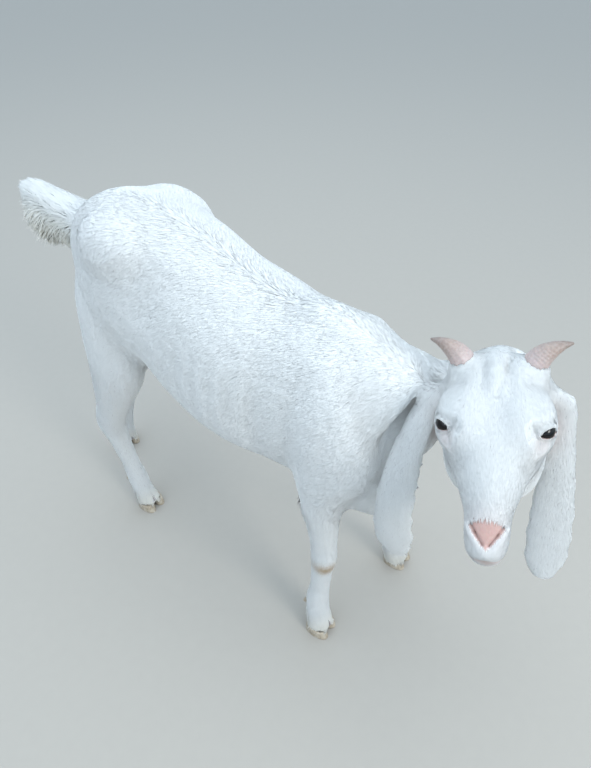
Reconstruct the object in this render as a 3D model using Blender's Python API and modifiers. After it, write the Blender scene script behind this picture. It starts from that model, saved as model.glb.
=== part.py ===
"""A young long-eared white goat standing still, life size, with its head turned to its right.

The goat stands on z = 0 and faces -Y, with its left side at +X. All lengths are metres.
Trunk, neck, head, legs and tail are modelled whole, as lofts through named rings that a
voxel remesh runs together, and are then parted with thin saw cuts into the pieces that a
person would name. Ears, horns, eyes, claws and dewclaws are solids of their own, trimmed
where they meet the flesh so that a hair's gap is left between neighbours.
"""

import math
from collections import namedtuple

import bmesh
import bpy
import numpy as np
from mathutils import Matrix, Vector

# --- Driving dimensions: outlines run to the tips of the coat -------------------------------

WITHERS_HEIGHT = 0.542          # ground to the top of the shoulders
RUMP_HEIGHT = 0.592             # ground to the highest point of the back
BELLY_HEIGHT = 0.306            # ground to the lowest point of the belly
BRISKET_HEIGHT = 0.263          # ground to the hair under the breastbone
BELLY_HALF_WIDTH = 0.096
CHEST_HALF_WIDTH = 0.076
HIP_HALF_WIDTH = 0.082
MIDLINE_X = -0.015              # the trunk leans over its right legs
PIN_BONE_Y = 0.250              # rearmost point of the buttocks
BREAST_Y = -0.226               # foremost point of the chest

HEAD_POSE = dict(poll=(0.000, -0.282, 0.544), yaw=69.6, nod=13.0, tilt=-11.2)
HEAD_LENGTH = 0.171             # poll to the front of the lips
MUZZLE_HALF_WIDTH = 0.0180
CHEEK_HALF_WIDTH = 0.0475
FOREHEAD_HALF_WIDTH = 0.0485
EYE_SPACING = 0.077             # between the centres of the two eyeballs
EYE_RADIUS = 0.0115
LID_OPENING = (0.0085, 0.0050, 0.0110)
HORN_LENGTH = 0.035
HORN_RADIUS = 0.0115
HORN_SPACING = 0.066
EAR_HALF_WIDTH = 0.0235
EAR_HALF_THICKNESS = 0.0042
EAR_FOLDS = {"right": (-0.060, -0.016, -0.044), "left": (0.060, -0.006, -0.056)}
EAR_BOWS = {"right": (-0.0345, 0.006, 0.0095), "left": (-0.004, -0.004, -0.004)}
EAR_TIPS = {"right": (-0.060, -0.249, 0.268), "left": (-0.004, -0.399, 0.285)}

TAIL_LENGTH = 0.143
HOOF_HEIGHT = 0.014             # how much of the claws shows below the hair of the foot
CLAW_SPACING = 0.0215           # between the middles of a foot's two claws
CLAW_HALF_WIDTH = 0.0098
TOE_REACH = 0.022               # the foot's centre to the toe's tip
HEEL_REACH = 0.0165
CLEFT_HEIGHT = 0.040            # top of the cleft between the toes
CLEFT_WIDTH = 0.0035
DEWCLAW_RADIUS = 0.0045
DEWCLAW_LENGTH = 0.009

NAPE_Y = 0.022                  # where head and neck part, in the head's own frame
SAW_CUT = 0.0003                # width of a parting cut, and of every gap between neighbours
BODY_VOXEL = 0.0055
HEAD_VOXEL = 0.0030
BODY_SOFTNESS = 22              # rounds of smoothing where masses run together
BODY_TRIANGLES = 3100
HEAD_SOFTNESS = 20
HEAD_TRIANGLES = 1450

# Where each foot stands, and the joints above it. Left and right differ: the goat shifts its
# weight, with its left forefoot out and forward and its left hind foot trailing.
Foreleg = namedtuple("Foreleg", "elbow knee fetlock foot")
Hindleg = namedtuple("Hindleg", "hip thigh stifle hock fetlock foot")

FORELEGS = {
    "right": Foreleg((-0.076, -0.148, 0.315), (-0.073, -0.155, 0.190),
                     (-0.072, -0.150, 0.072), (-0.074, -0.156, 0.0)),
    "left": Foreleg((0.040, -0.150, 0.315), (0.056, -0.174, 0.190),
                    (0.088, -0.188, 0.072), (0.099, -0.197, 0.0)),
}
HINDLEGS = {
    "right": Hindleg((-0.060, 0.208, 0.460), (-0.068, 0.208, 0.385), (-0.071, 0.214, 0.335),
                     (-0.070, 0.262, 0.200), (-0.064, 0.240, 0.070), (-0.061, 0.226, 0.0)),
    "left": Hindleg((0.036, 0.214, 0.460), (0.044, 0.224, 0.385), (0.045, 0.240, 0.335),
                    (0.036, 0.326, 0.212), (0.024, 0.370, 0.072), (0.020, 0.376, 0.0)),
}

# A loft's ring: its centre, how far it reaches to either side, ahead and behind.
Ring = namedtuple("Ring", "centre side ahead behind")
# A slice across the trunk or the head: where it is, its top, its bottom and its half width.
Slice = namedtuple("Slice", "y top bottom side")

PARTS = bpy.data.collections.new("goat")
CUTTERS = bpy.data.collections.new("goat cutters")
SIDES = {"right": -1.0, "left": 1.0}


# --- Small helpers ----------------------------------------------------------------------------

def clear_scene():
    """Remove every object and hang the two collections in the scene."""
    for thing in list(bpy.data.objects):
        bpy.data.objects.remove(thing, do_unlink=True)
    for collection in (PARTS, CUTTERS):
        bpy.context.scene.collection.children.link(collection)


def make_material(name, colour, roughness):
    material = bpy.data.materials.new(name)
    material.use_nodes = True
    shader = material.node_tree.nodes["Principled BSDF"]
    shader.inputs["Base Color"].default_value = (*colour, 1.0)
    shader.inputs["Roughness"].default_value = roughness
    shader.inputs["Metallic"].default_value = 0.0
    material.diffuse_color = (*colour, 1.0)
    return material


def add_part(name, mesh, material):
    """A finished sub-part, with its own material."""
    mesh.name = name
    mesh.materials.clear()
    mesh.materials.append(material)
    mesh.shade_flat()
    piece = bpy.data.objects.new(name, mesh)
    PARTS.objects.link(piece)
    return piece


def add_guide(name, mesh):
    """A working solid or a cutter, which is left out of the finished goat."""
    piece = bpy.data.objects.new(name, mesh)
    CUTTERS.objects.link(piece)
    piece.display_type = "WIRE"
    piece.hide_render = True
    return piece


def guide_from_bmesh(name, bm):
    bmesh.ops.recalc_face_normals(bm, faces=bm.faces)
    mesh = bpy.data.meshes.new(name)
    bm.to_mesh(mesh)
    bm.free()
    return add_guide(name, mesh)


def bake_modifiers(piece):
    """Replace an object's mesh by what its modifiers make of it."""
    graph = bpy.context.evaluated_depsgraph_get()
    mesh = bpy.data.meshes.new_from_object(piece.evaluated_get(graph))
    piece.modifiers.clear()
    piece.data = mesh
    return piece


def between(start, end, share):
    return Vector(start).lerp(Vector(end), share)


def smooth_rows(rows, steps):
    """Catmull-Rom rows between the given rows of numbers, steps to each span."""
    table = np.array(rows, dtype=float)
    before = 2.0 * table[0] - table[1]
    after = 2.0 * table[-1] - table[-2]
    padded = np.vstack([before, table, after])
    out = []
    for index in range(1, len(padded) - 2):
        p0, p1, p2, p3 = padded[index - 1:index + 3]
        for step in range(steps):
            t = step / steps
            bend = 2.0 * p0 - 5.0 * p1 + 4.0 * p2 - p3
            twist = 3.0 * p1 - p0 - 3.0 * p2 + p3
            out.append(0.5 * (2.0 * p1 + (p2 - p0) * t + bend * t ** 2 + twist * t ** 3))
    out.append(table[-1])
    return np.array(out)


# --- Lofts and other solids -----------------------------------------------------------------------

def loft(name, rings, across=(1.0, 0.0, 0.0), along=None, sides=24, steps=4, taper=0.0,
         curl=0.0, square=2.0):
    """Skin a row of rings and close its ends.

    Every ring is square to the row's path, or to "along" where that is given, and keeps one
    axis near "across". taper narrows its ahead side, curl bends its two edges back, and a
    square above 2 fills out the ellipse toward a rectangle.
    """
    rows = smooth_rows([(*ring.centre, ring.side, ring.ahead, ring.behind) for ring in rings], steps)
    centres = [Vector(row[:3]) for row in rows]
    bm = bmesh.new()
    loops = []
    for index, (centre, row) in enumerate(zip(centres, rows)):
        tangent = centres[min(index + 1, len(rows) - 1)] - centres[max(index - 1, 0)]
        tangent = Vector(along or tangent).normalized()
        right = Vector(across)
        right = (right - tangent * right.dot(tangent)).normalized()
        front = tangent.cross(right)
        side, ahead, behind = (max(value, 0.0005) for value in row[3:])
        loop = []
        for corner in range(sides):
            angle = 2.0 * math.pi * corner / sides
            wide = math.copysign(abs(math.cos(angle)) ** (2.0 / square), math.cos(angle))
            high = math.copysign(abs(math.sin(angle)) ** (2.0 / square), math.sin(angle))
            reach = ahead if high > 0.0 else behind
            offset = right * (side * wide * (1.0 - taper * high))
            offset += front * (reach * high - curl * side * wide ** 2)
            loop.append(bm.verts.new(centre + offset))
        loops.append(loop)
    for lower, upper in zip(loops, loops[1:]):
        for corner in range(sides):
            after = (corner + 1) % sides
            bm.faces.new((lower[corner], lower[after], upper[after], upper[corner]))
    for loop in (loops[0], loops[-1]):
        tip = bm.verts.new(sum((vert.co for vert in loop), Vector()) / sides)
        for corner in range(sides):
            bm.faces.new((loop[corner], loop[(corner + 1) % sides], tip))
    return guide_from_bmesh(name, bm)


def ellipsoid(name, centre, radii, turn=Matrix.Identity(3), segments=20):
    """A round mass, such as a muscle or the bulge over an eye."""
    bm = bmesh.new()
    bmesh.ops.create_uvsphere(bm, u_segments=segments, v_segments=segments // 2, radius=1.0)
    shape = Matrix.Translation(centre) @ (turn @ Matrix.Diagonal(radii)).to_4x4()
    bmesh.ops.transform(bm, matrix=shape, verts=bm.verts)
    return guide_from_bmesh(name, bm)


def box(name, size, frame):
    """A box of the given size, centred on a frame."""
    bm = bmesh.new()
    bmesh.ops.create_cube(bm, size=1.0)
    bmesh.ops.transform(bm, matrix=frame @ Matrix.Diagonal((*size, 1.0)), verts=bm.verts)
    return guide_from_bmesh(name, bm)


def slice_rings(slices, x=0.0):
    """Rings for a mass that lies along Y: the centre is midway between top and bottom."""
    rings = []
    for cut in slices:
        middle = (cut.top + cut.bottom) / 2.0
        half = (cut.top - cut.bottom) / 2.0
        rings.append(Ring((x, cut.y, middle), cut.side, half, half))
    return rings


# --- The body's masses --------------------------------------------------------------------------

def trunk_mass():
    """The barrel: deep and narrow at the chest, wide at the belly, tucked up at the flank."""
    slices = [
        Slice(PIN_BONE_Y + 0.006, 0.500, 0.430, 0.026),
        Slice(PIN_BONE_Y - 0.010, RUMP_HEIGHT - 0.038, 0.404, 0.054),
        Slice(0.205, RUMP_HEIGHT - 0.006, 0.388, HIP_HALF_WIDTH - 0.008),
        Slice(0.155, RUMP_HEIGHT, 0.378, HIP_HALF_WIDTH + 0.001),
        Slice(0.100, RUMP_HEIGHT - 0.012, 0.356, HIP_HALF_WIDTH + 0.005),
        Slice(0.050, RUMP_HEIGHT - 0.032, BELLY_HEIGHT + 0.024, BELLY_HALF_WIDTH - 0.005),
        Slice(-0.005, WITHERS_HEIGHT + 0.000, BELLY_HEIGHT + 0.005, BELLY_HALF_WIDTH),
        Slice(-0.060, WITHERS_HEIGHT - 0.010, BELLY_HEIGHT + 0.002, BELLY_HALF_WIDTH - 0.008),
        Slice(-0.110, WITHERS_HEIGHT - 0.008, BRISKET_HEIGHT + 0.044, CHEST_HALF_WIDTH + 0.002),
        Slice(-0.155, WITHERS_HEIGHT - 0.018, BRISKET_HEIGHT + 0.012, CHEST_HALF_WIDTH - 0.008),
        Slice(-0.190, WITHERS_HEIGHT - 0.046, BRISKET_HEIGHT + 0.004, CHEST_HALF_WIDTH - 0.020),
        Slice(BREAST_Y + 0.008, 0.462, BRISKET_HEIGHT + 0.044, 0.040),
        Slice(BREAST_Y, 0.420, BRISKET_HEIGHT + 0.080, 0.018),
    ]
    return loft("trunk mass", slice_rings(slices, MIDLINE_X), sides=32, taper=0.06, square=2.25)


def hip_mass(side):
    """The point of one hip bone, which squares off the croup."""
    centre = (MIDLINE_X + SIDES[side] * 0.044, 0.156, RUMP_HEIGHT - 0.050)
    return ellipsoid(f"hip mass {side}", centre, (0.041, 0.064, 0.047))


def withers_mass():
    """The shoulder blades' tops, standing a little above the barrel."""
    rings = [
        Ring((MIDLINE_X, -0.070, 0.500), 0.024, 0.032, 0.030),
        Ring((MIDLINE_X, -0.105, 0.502), 0.036, WITHERS_HEIGHT - 0.502, 0.040),
        Ring((MIDLINE_X, -0.140, 0.494), 0.037, WITHERS_HEIGHT - 0.500, 0.040),
        Ring((MIDLINE_X + 0.005, -0.180, 0.470), 0.034, 0.036, 0.040),
    ]
    return loft("withers mass", rings)


def foreleg_mass(side, leg):
    """One foreleg from the shoulder blade to the foot."""
    out = SIDES[side]
    elbow, knee, fetlock, foot = (Vector(joint) for joint in leg)
    rings = [
        Ring((MIDLINE_X + out * 0.034, -0.118, 0.505), 0.022, 0.036, 0.036),
        Ring((MIDLINE_X + out * 0.050, -0.142, 0.445), 0.031, 0.054, 0.050),
        Ring((MIDLINE_X + out * 0.056, -0.156, 0.390), 0.031, 0.052, 0.054),
        Ring(elbow + Vector((0.0, -0.002, 0.030)), 0.0270, 0.036, 0.040),
        Ring(elbow + Vector((0.0, 0.000, -0.008)), 0.0230, 0.0265, 0.0290),
        Ring(between(elbow, knee, 0.48), 0.0200, 0.0225, 0.0230),
        Ring(between(elbow, knee, 0.78), 0.0178, 0.0190, 0.0190),
        Ring(knee, 0.0195, 0.0205, 0.0190),
        Ring(between(knee, fetlock, 0.25), 0.0165, 0.0165, 0.0170),
        Ring(between(knee, fetlock, 0.68), 0.0155, 0.0155, 0.0165),
        Ring(fetlock, 0.0185, 0.0170, 0.0205),
        Ring(between(fetlock, foot, 0.42), 0.0185, 0.0170, 0.0180),
        Ring(between(fetlock, foot, 0.72), 0.0215, 0.0225, 0.0185),
        Ring(foot + Vector((0.0, 0.0, 0.004)), 0.0215, 0.0245, 0.0185),
    ]
    return loft(f"foreleg mass {side}", rings)


def hindleg_mass(side, leg):
    """One hind leg from the hip to the foot: a deep flat thigh, then the hock's bend."""
    out = SIDES[side]
    hip, thigh, stifle, hock, fetlock, foot = (Vector(joint) for joint in leg)
    rings = [
        Ring(hip + Vector((-0.012 * out, 0.0, 0.055)), 0.026, 0.046, 0.034),
        Ring(hip, 0.032, 0.062, 0.047),
        Ring(thigh, 0.033, 0.060, 0.048),
        Ring(stifle, 0.030, 0.050, 0.043),
        Ring(between(stifle, hock, 0.36), 0.0260, 0.0370, 0.0365),
        Ring(between(stifle, hock, 0.72), 0.0215, 0.0270, 0.0290),
        Ring(hock, 0.0205, 0.0260, 0.0330),
        Ring(between(hock, fetlock, 0.16), 0.0190, 0.0200, 0.0270),
        Ring(between(hock, fetlock, 0.38), 0.0170, 0.0180, 0.0190),
        Ring(between(hock, fetlock, 0.76), 0.0160, 0.0165, 0.0175),
        Ring(fetlock, 0.0185, 0.0175, 0.0210),
        Ring(between(fetlock, foot, 0.42), 0.0180, 0.0165, 0.0180),
        Ring(between(fetlock, foot, 0.72), 0.0210, 0.0220, 0.0185),
        Ring(foot + Vector((0.0, 0.0, 0.004)), 0.0210, 0.0240, 0.0185),
    ]
    return loft(f"hindleg mass {side}", rings)


def tail_mass():
    """The short tail, held straight back, with long hair hanging below its dock."""
    root = Vector((MIDLINE_X, PIN_BONE_Y - 0.022, 0.524))
    reach = Vector((0.0, 1.0, 0.13)) * TAIL_LENGTH
    rings = [
        Ring(root, 0.024, 0.044, 0.022),
        Ring(root + reach * 0.28, 0.024, 0.052, 0.020),
        Ring(root + reach * 0.56, 0.024, 0.056, 0.017),
        Ring(root + reach * 0.84, 0.022, 0.046, 0.015),
        Ring(root + reach * 1.08, 0.017, 0.030, 0.012),
        Ring(root + reach * 1.24, 0.007, 0.012, 0.006),
    ]
    return loft("tail mass", rings)


def neck_rings():
    """Out of the shoulders, bowed to the left, and round into the back of the head."""
    occiput = head_frame() @ Vector((0.000, 0.036, -0.068))
    crest = head_frame() @ Vector((0.000, 0.004, -0.054))
    return [
        Ring((MIDLINE_X + 0.002, -0.105, 0.425), 0.056, 0.086, 0.090),
        Ring((MIDLINE_X + 0.012, -0.160, 0.432), 0.050, 0.080, 0.082),
        Ring((0.022, -0.202, 0.438), 0.043, 0.060, 0.062),
        Ring((0.044, -0.236, 0.443), 0.039, 0.036, 0.046),
        Ring(occiput, 0.037, 0.030, 0.036),
        Ring(crest, 0.030, 0.026, 0.030),
    ]


def neck_mass():
    return loft("neck mass", neck_rings())


# --- The head, in its own frame: x to its left, y back, z up, and the poll at the origin --------

def head_frame():
    yaw = Matrix.Rotation(-math.radians(HEAD_POSE["yaw"]), 4, "Z")
    nod = Matrix.Rotation(math.radians(HEAD_POSE["nod"]), 4, "X")
    tilt = Matrix.Rotation(math.radians(HEAD_POSE["tilt"]), 4, "Y")
    return Matrix.Translation(HEAD_POSE["poll"]) @ yaw @ nod @ tilt


def eye_centre(side):
    return Vector((SIDES[side] * EYE_SPACING / 2.0, -0.0620, -0.0190))


def lid_opening(side):
    """The almond between an eye's two lids, cut through the rim of the orbit to the eyeball."""
    outward = Vector((SIDES[side] * 0.64, -0.58, 0.50)).normalized()
    slant = Vector((SIDES[side] * 0.76, 0.61, -0.22))
    along = (slant - outward * slant.dot(outward)).normalized()
    turn = Matrix((along, outward.cross(along), outward)).transposed().to_4x4()
    opening = ellipsoid(f"lid opening {side}", (0.0, 0.0, 0.0), LID_OPENING, segments=12)
    place = Matrix.Translation(eye_centre(side) + outward * (EYE_RADIUS + 0.0020))
    opening.data.transform(head_frame() @ place @ turn)
    return opening


def head_masses():
    """Skull and nose, lower jaw, cheeks, brows and lips, as overlapping solids."""
    lips = -HEAD_LENGTH
    skull = [
        Slice(0.020, -0.028, -0.080, 0.022),
        Slice(0.009, -0.010, -0.084, FOREHEAD_HALF_WIDTH - 0.012),
        Slice(-0.009, 0.000, -0.082, FOREHEAD_HALF_WIDTH - 0.003),
        Slice(-0.034, 0.002, -0.078, FOREHEAD_HALF_WIDTH),
        Slice(-0.056, 0.000, -0.076, FOREHEAD_HALF_WIDTH - 0.002),
        Slice(-0.076, -0.004, -0.074, FOREHEAD_HALF_WIDTH - 0.007),
        Slice(-0.096, -0.010, -0.072, 0.0335),
        Slice(-0.116, -0.017, -0.070, 0.0260),
        Slice(-0.134, -0.025, -0.068, MUZZLE_HALF_WIDTH + 0.0015),
        Slice(-0.152, -0.031, -0.072, MUZZLE_HALF_WIDTH),
        Slice(lips + 0.004, -0.036, -0.073, MUZZLE_HALF_WIDTH - 0.0020),
        Slice(lips, -0.041, -0.071, 0.0120),
    ]
    jaw = [
        Slice(0.008, -0.045, -0.098, 0.030),
        Slice(-0.016, -0.045, -0.110, 0.039),
        Slice(-0.045, -0.045, -0.108, 0.039),
        Slice(-0.075, -0.045, -0.100, 0.033),
        Slice(-0.105, -0.045, -0.091, 0.0245),
        Slice(-0.135, -0.050, -0.086, 0.0185),
        Slice(lips + 0.008, -0.056, -0.085, 0.0145),
        Slice(lips + 0.003, -0.060, -0.081, 0.0090),
    ]
    masses = [
        loft("skull mass", slice_rings(skull), taper=0.04, square=2.2),
        loft("jaw mass", slice_rings(jaw)),
    ]
    for side, out in SIDES.items():
        parts = [
            ("cheek mass", (out * (CHEEK_HALF_WIDTH - 0.026), -0.050, -0.070), (0.026, 0.052, 0.036)),
            ("brow mass", (out * 0.0225, -0.053, -0.025), (0.0310, 0.0420, 0.0290)),
            ("ear root mass", (out * 0.039, -0.002, -0.044), (0.0145, 0.0170, 0.0200)),
            ("horn root mass", (out * (HORN_SPACING / 2.0 - 0.003), 0.000, -0.018), (0.0170, 0.0175, 0.0180)),
            ("lip mass", (out * 0.0085, lips + 0.014, -0.060), (0.0080, 0.0140, 0.0080)),
        ]
        masses += [ellipsoid(f"{name} {side}", centre, radii) for name, centre, radii in parts]
    for mass in masses:
        mass.data.transform(head_frame())
    masses.append(loft("nape mass", neck_rings()[3:]))
    return masses


# --- Running masses together, cutting them apart, and trimming neighbours ---------------------

def fuse(name, masses, voxel, softness, triangles):
    """Run overlapping masses together into one smooth closed surface."""
    bm = bmesh.new()
    for mass in masses:
        bm.from_mesh(mass.data)
    whole = guide_from_bmesh(name, bm)
    remesh = whole.modifiers.new("one skin", "REMESH")
    remesh.mode = "VOXEL"
    remesh.voxel_size = voxel
    soften = whole.modifiers.new("soften", "SMOOTH")
    soften.factor = 0.5
    soften.iterations = softness
    bake_modifiers(whole)
    thin = whole.modifiers.new("facets", "DECIMATE")
    thin.ratio = triangles / (2.0 * len(whole.data.polygons))
    return bake_modifiers(whole)


def carve(piece, cutters, operation="DIFFERENCE"):
    """Take the cutters away from a piece, or keep only what lies inside them."""
    for cutter in cutters:
        cut = piece.modifiers.new(cutter.name, "BOOLEAN")
        cut.operation = operation
        cut.solver = "EXACT"
        cut.object = cutter
        bake_modifiers(piece)
    return piece


def swollen(piece):
    """A cutter that stands a gap's width off a piece."""
    cutter = add_guide(f"{piece.name} swollen", piece.data.copy())
    grow = cutter.modifiers.new("gap", "DISPLACE")
    grow.strength = SAW_CUT * 1.3
    grow.mid_level = 0.0
    return bake_modifiers(cutter)


def loose_meshes(piece):
    """The separate closed bodies of a piece, largest first, as meshes."""
    bm = bmesh.new()
    bm.from_mesh(piece.data)
    unseen = set(bm.verts)
    bodies = []
    while unseen:
        queue = [unseen.pop()]
        body = set(queue)
        while queue:
            for edge in queue.pop().link_edges:
                for vert in edge.verts:
                    if vert in unseen:
                        unseen.remove(vert)
                        body.add(vert)
                        queue.append(vert)
        bodies.append({vert.index for vert in body})
    bm.free()
    meshes = []
    for body in sorted(bodies, key=len, reverse=True):
        part = bmesh.new()
        part.from_mesh(piece.data)
        part.verts.ensure_lookup_table()
        bmesh.ops.delete(part, geom=[vert for vert in part.verts if vert.index not in body])
        bmesh.ops.remove_doubles(part, verts=part.verts, dist=0.0001)
        bmesh.ops.dissolve_degenerate(part, edges=part.edges, dist=0.0001)
        wires = [edge for edge in part.edges if not edge.link_faces]
        bmesh.ops.delete(part, geom=wires, context="EDGES")
        bmesh.ops.triangulate(part, faces=part.faces)
        mesh = bpy.data.meshes.new(piece.name)
        part.to_mesh(mesh)
        part.free()
        meshes.append(mesh)
    return meshes


def saw_blade(centre, normal, size):
    """A square blade as thick as a saw cut, across a limb or the neck."""
    turn = Vector(normal).to_track_quat("Z", "Y").to_matrix().to_4x4()
    return box("saw blade", (size, size, SAW_CUT), Matrix.Translation(centre) @ turn)


def foot_cutters(foot):
    """What is taken off a foot: all below the coat's hem, and the cleft between the toes."""
    floor = box("below the coat", (0.09, 0.10, 0.06),
                Matrix.Translation((foot[0], foot[1], HOOF_HEIGHT - 0.03)))
    cleft = box("cleft", (CLEFT_WIDTH, 0.04, CLEFT_HEIGHT - HOOF_HEIGHT + 0.02),
                Matrix.Translation((foot[0], foot[1] - 0.032, (CLEFT_HEIGHT + HOOF_HEIGHT) / 2.0 - 0.01)))
    return [floor, cleft]


def part_body(body):
    """Saw the body into trunk, neck, tail and eight lengths of leg; returns name -> mesh."""
    blades = [
        saw_blade((MIDLINE_X + 0.002, -0.176, 0.455), (0.10, -0.84, 0.53), 0.34),
        saw_blade((MIDLINE_X, PIN_BONE_Y + 0.014, 0.520), (0.0, 1.0, 0.35), 0.11),
        saw_blade((MIDLINE_X, 0.220, 0.357), (0.0, -0.25, 1.0), 0.24),
    ]
    for side, out in SIDES.items():
        elbow, knee = FORELEGS[side].elbow, FORELEGS[side].knee
        blades += [
            saw_blade((elbow[0] + out * 0.004, elbow[1], 0.300), (out * 0.62, 0.0, -0.78), 0.100),
            saw_blade(knee, (0.0, 0.0, 1.0), 0.075),
            saw_blade(HINDLEGS[side].hock, (0.0, 0.35, 1.0), 0.095),
        ]
    carve(body, blades)
    homes = {
        "trunk": (MIDLINE_X, 0.020, 0.430),
        "neck": (0.020, -0.210, 0.440),
        "tail": (MIDLINE_X, 0.340, 0.515),
    }
    for side in SIDES:
        foreleg, hindleg = FORELEGS[side], HINDLEGS[side]
        homes[f"foreleg_{side}_upper"] = between(foreleg.elbow, foreleg.knee, 0.6)
        homes[f"foreleg_{side}_lower"] = between(foreleg.knee, foreleg.foot, 0.4)
        homes[f"hindleg_{side}_upper"] = between(hindleg.stifle, hindleg.hock, 0.45)
        homes[f"hindleg_{side}_lower"] = between(hindleg.hock, hindleg.foot, 0.4)
    named = {}
    for mesh in loose_meshes(body):
        middle = sum((vert.co for vert in mesh.vertices), Vector()) / len(mesh.vertices)
        free = [name for name in homes if name not in named]
        if free and len(mesh.vertices) > 20:
            nearest = min(free, key=lambda name: (Vector(homes[name]) - middle).length)
            named[nearest] = mesh
    return named


def horn_guide(side):
    """A small horn: thick at its root, rising and then curving out and back to a point."""
    out = SIDES[side]
    root = Vector((out * (HORN_SPACING / 2.0 - 0.002), 0.002, -0.012))
    rings = []
    for step in range(7):
        share = step / 6.0
        swing = math.radians(18.0 + 42.0 * share)
        rise = Vector((out * math.sin(swing), 0.38, math.cos(swing)))
        girth = HORN_RADIUS * (1.0 - share ** 1.6) + 0.0012
        centre = root + rise * (HORN_LENGTH + 0.002) * share
        rings.append(Ring(centre, girth, girth * 1.10, girth * 1.05))
    guide = loft(f"horn guide {side}", rings, sides=10, steps=1)
    guide.data.transform(head_frame())
    return guide


def ear_guide(side):
    """A long hanging ear: a narrow root at the side of the head, widest low down, round tip."""
    out = SIDES[side]
    root = head_frame() @ Vector((out * 0.040, -0.004, -0.040))
    fold = head_frame() @ Vector(EAR_FOLDS[side])
    across = head_frame().to_3x3() @ Vector((1.0, 0.12 * out, 0.0))
    rings = [Ring(root, 0.0100, 0.0062, 0.0062), Ring(fold, 0.0125, 0.0062, 0.0062)]
    widths = (0.60, 0.70, 0.80, 0.89, 0.96, 1.0, 1.0, 0.90, 0.45)
    for step, width in enumerate(widths):
        share = (step + 1.0) / len(widths)
        centre = between(fold, EAR_TIPS[side], share)
        centre += Vector(EAR_BOWS[side]) * math.sin(math.pi * share) ** 0.7
        thick = EAR_HALF_THICKNESS * (1.25 - 0.45 * share)
        rings.append(Ring(centre, EAR_HALF_WIDTH * width, thick, thick))
    return loft(f"ear guide {side}", rings, across=across, sides=10, steps=2, curl=0.16)


def claw_guide(name, foot, inner):
    """One claw: a flat sole, a steep outer wall and a toe drawn to the front."""
    x, y = foot[0] + inner * CLAW_SPACING / 2.0, foot[1]
    crown = HOOF_HEIGHT - SAW_CUT
    rings = [
        Ring((x, y, 0.0), CLAW_HALF_WIDTH, TOE_REACH, HEEL_REACH),
        Ring((x, y, crown * 0.5), CLAW_HALF_WIDTH, TOE_REACH - 0.0025, HEEL_REACH - 0.0005),
        Ring((x, y, crown), CLAW_HALF_WIDTH - 0.0005, TOE_REACH - 0.0060, HEEL_REACH - 0.0010),
    ]
    return loft(name, rings, along=(0.0, 0.0, -1.0), sides=14, steps=1, square=2.3)


def dewclaw_guide(name, fetlock, inner):
    """A small blunt horn behind the fetlock, pointing down and back."""
    root = Vector(fetlock) + Vector((inner * 0.0085, 0.0115, -0.002))
    fall = Vector((0.0, 0.62, -0.78)) * DEWCLAW_LENGTH
    rings = [
        Ring(root, DEWCLAW_RADIUS, DEWCLAW_RADIUS, DEWCLAW_RADIUS),
        Ring(root + fall * 0.8, DEWCLAW_RADIUS, DEWCLAW_RADIUS * 0.8, DEWCLAW_RADIUS * 0.8),
        Ring(root + fall * 1.4, DEWCLAW_RADIUS * 0.5, DEWCLAW_RADIUS * 0.4, DEWCLAW_RADIUS * 0.4),
    ]
    return loft(name, rings, sides=8, steps=1)


def trimmed(name, guide, neighbours):
    """What is left of a guide solid outside its neighbours, as one closed mesh."""
    carve(guide, [swollen(neighbour) for neighbour in neighbours])
    mesh = loose_meshes(guide)[0]
    return add_guide(name, mesh)


def part_head(body, skull):
    """Part head from neck across the nape, and sink a socket in the head for each eye."""
    behind = Matrix.Translation((0.0, NAPE_Y - SAW_CUT / 2.0 + 0.10, -0.05))
    before = Matrix.Translation((0.0, NAPE_Y + SAW_CUT / 2.0 - 0.03, -0.047))
    cutters = [box("behind the nape", (0.20, 0.20, 0.20), head_frame() @ behind)]
    for side in SIDES:
        centre = head_frame() @ eye_centre(side)
        socket = EYE_RADIUS + SAW_CUT
        cutters.append(ellipsoid(f"socket {side}", centre, (socket,) * 3, segments=16))
        cutters.append(lid_opening(side))
    carve(skull, cutters)
    carve(body, [box("before the nape", (0.09, 0.06, 0.106), head_frame() @ before)])


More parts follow.
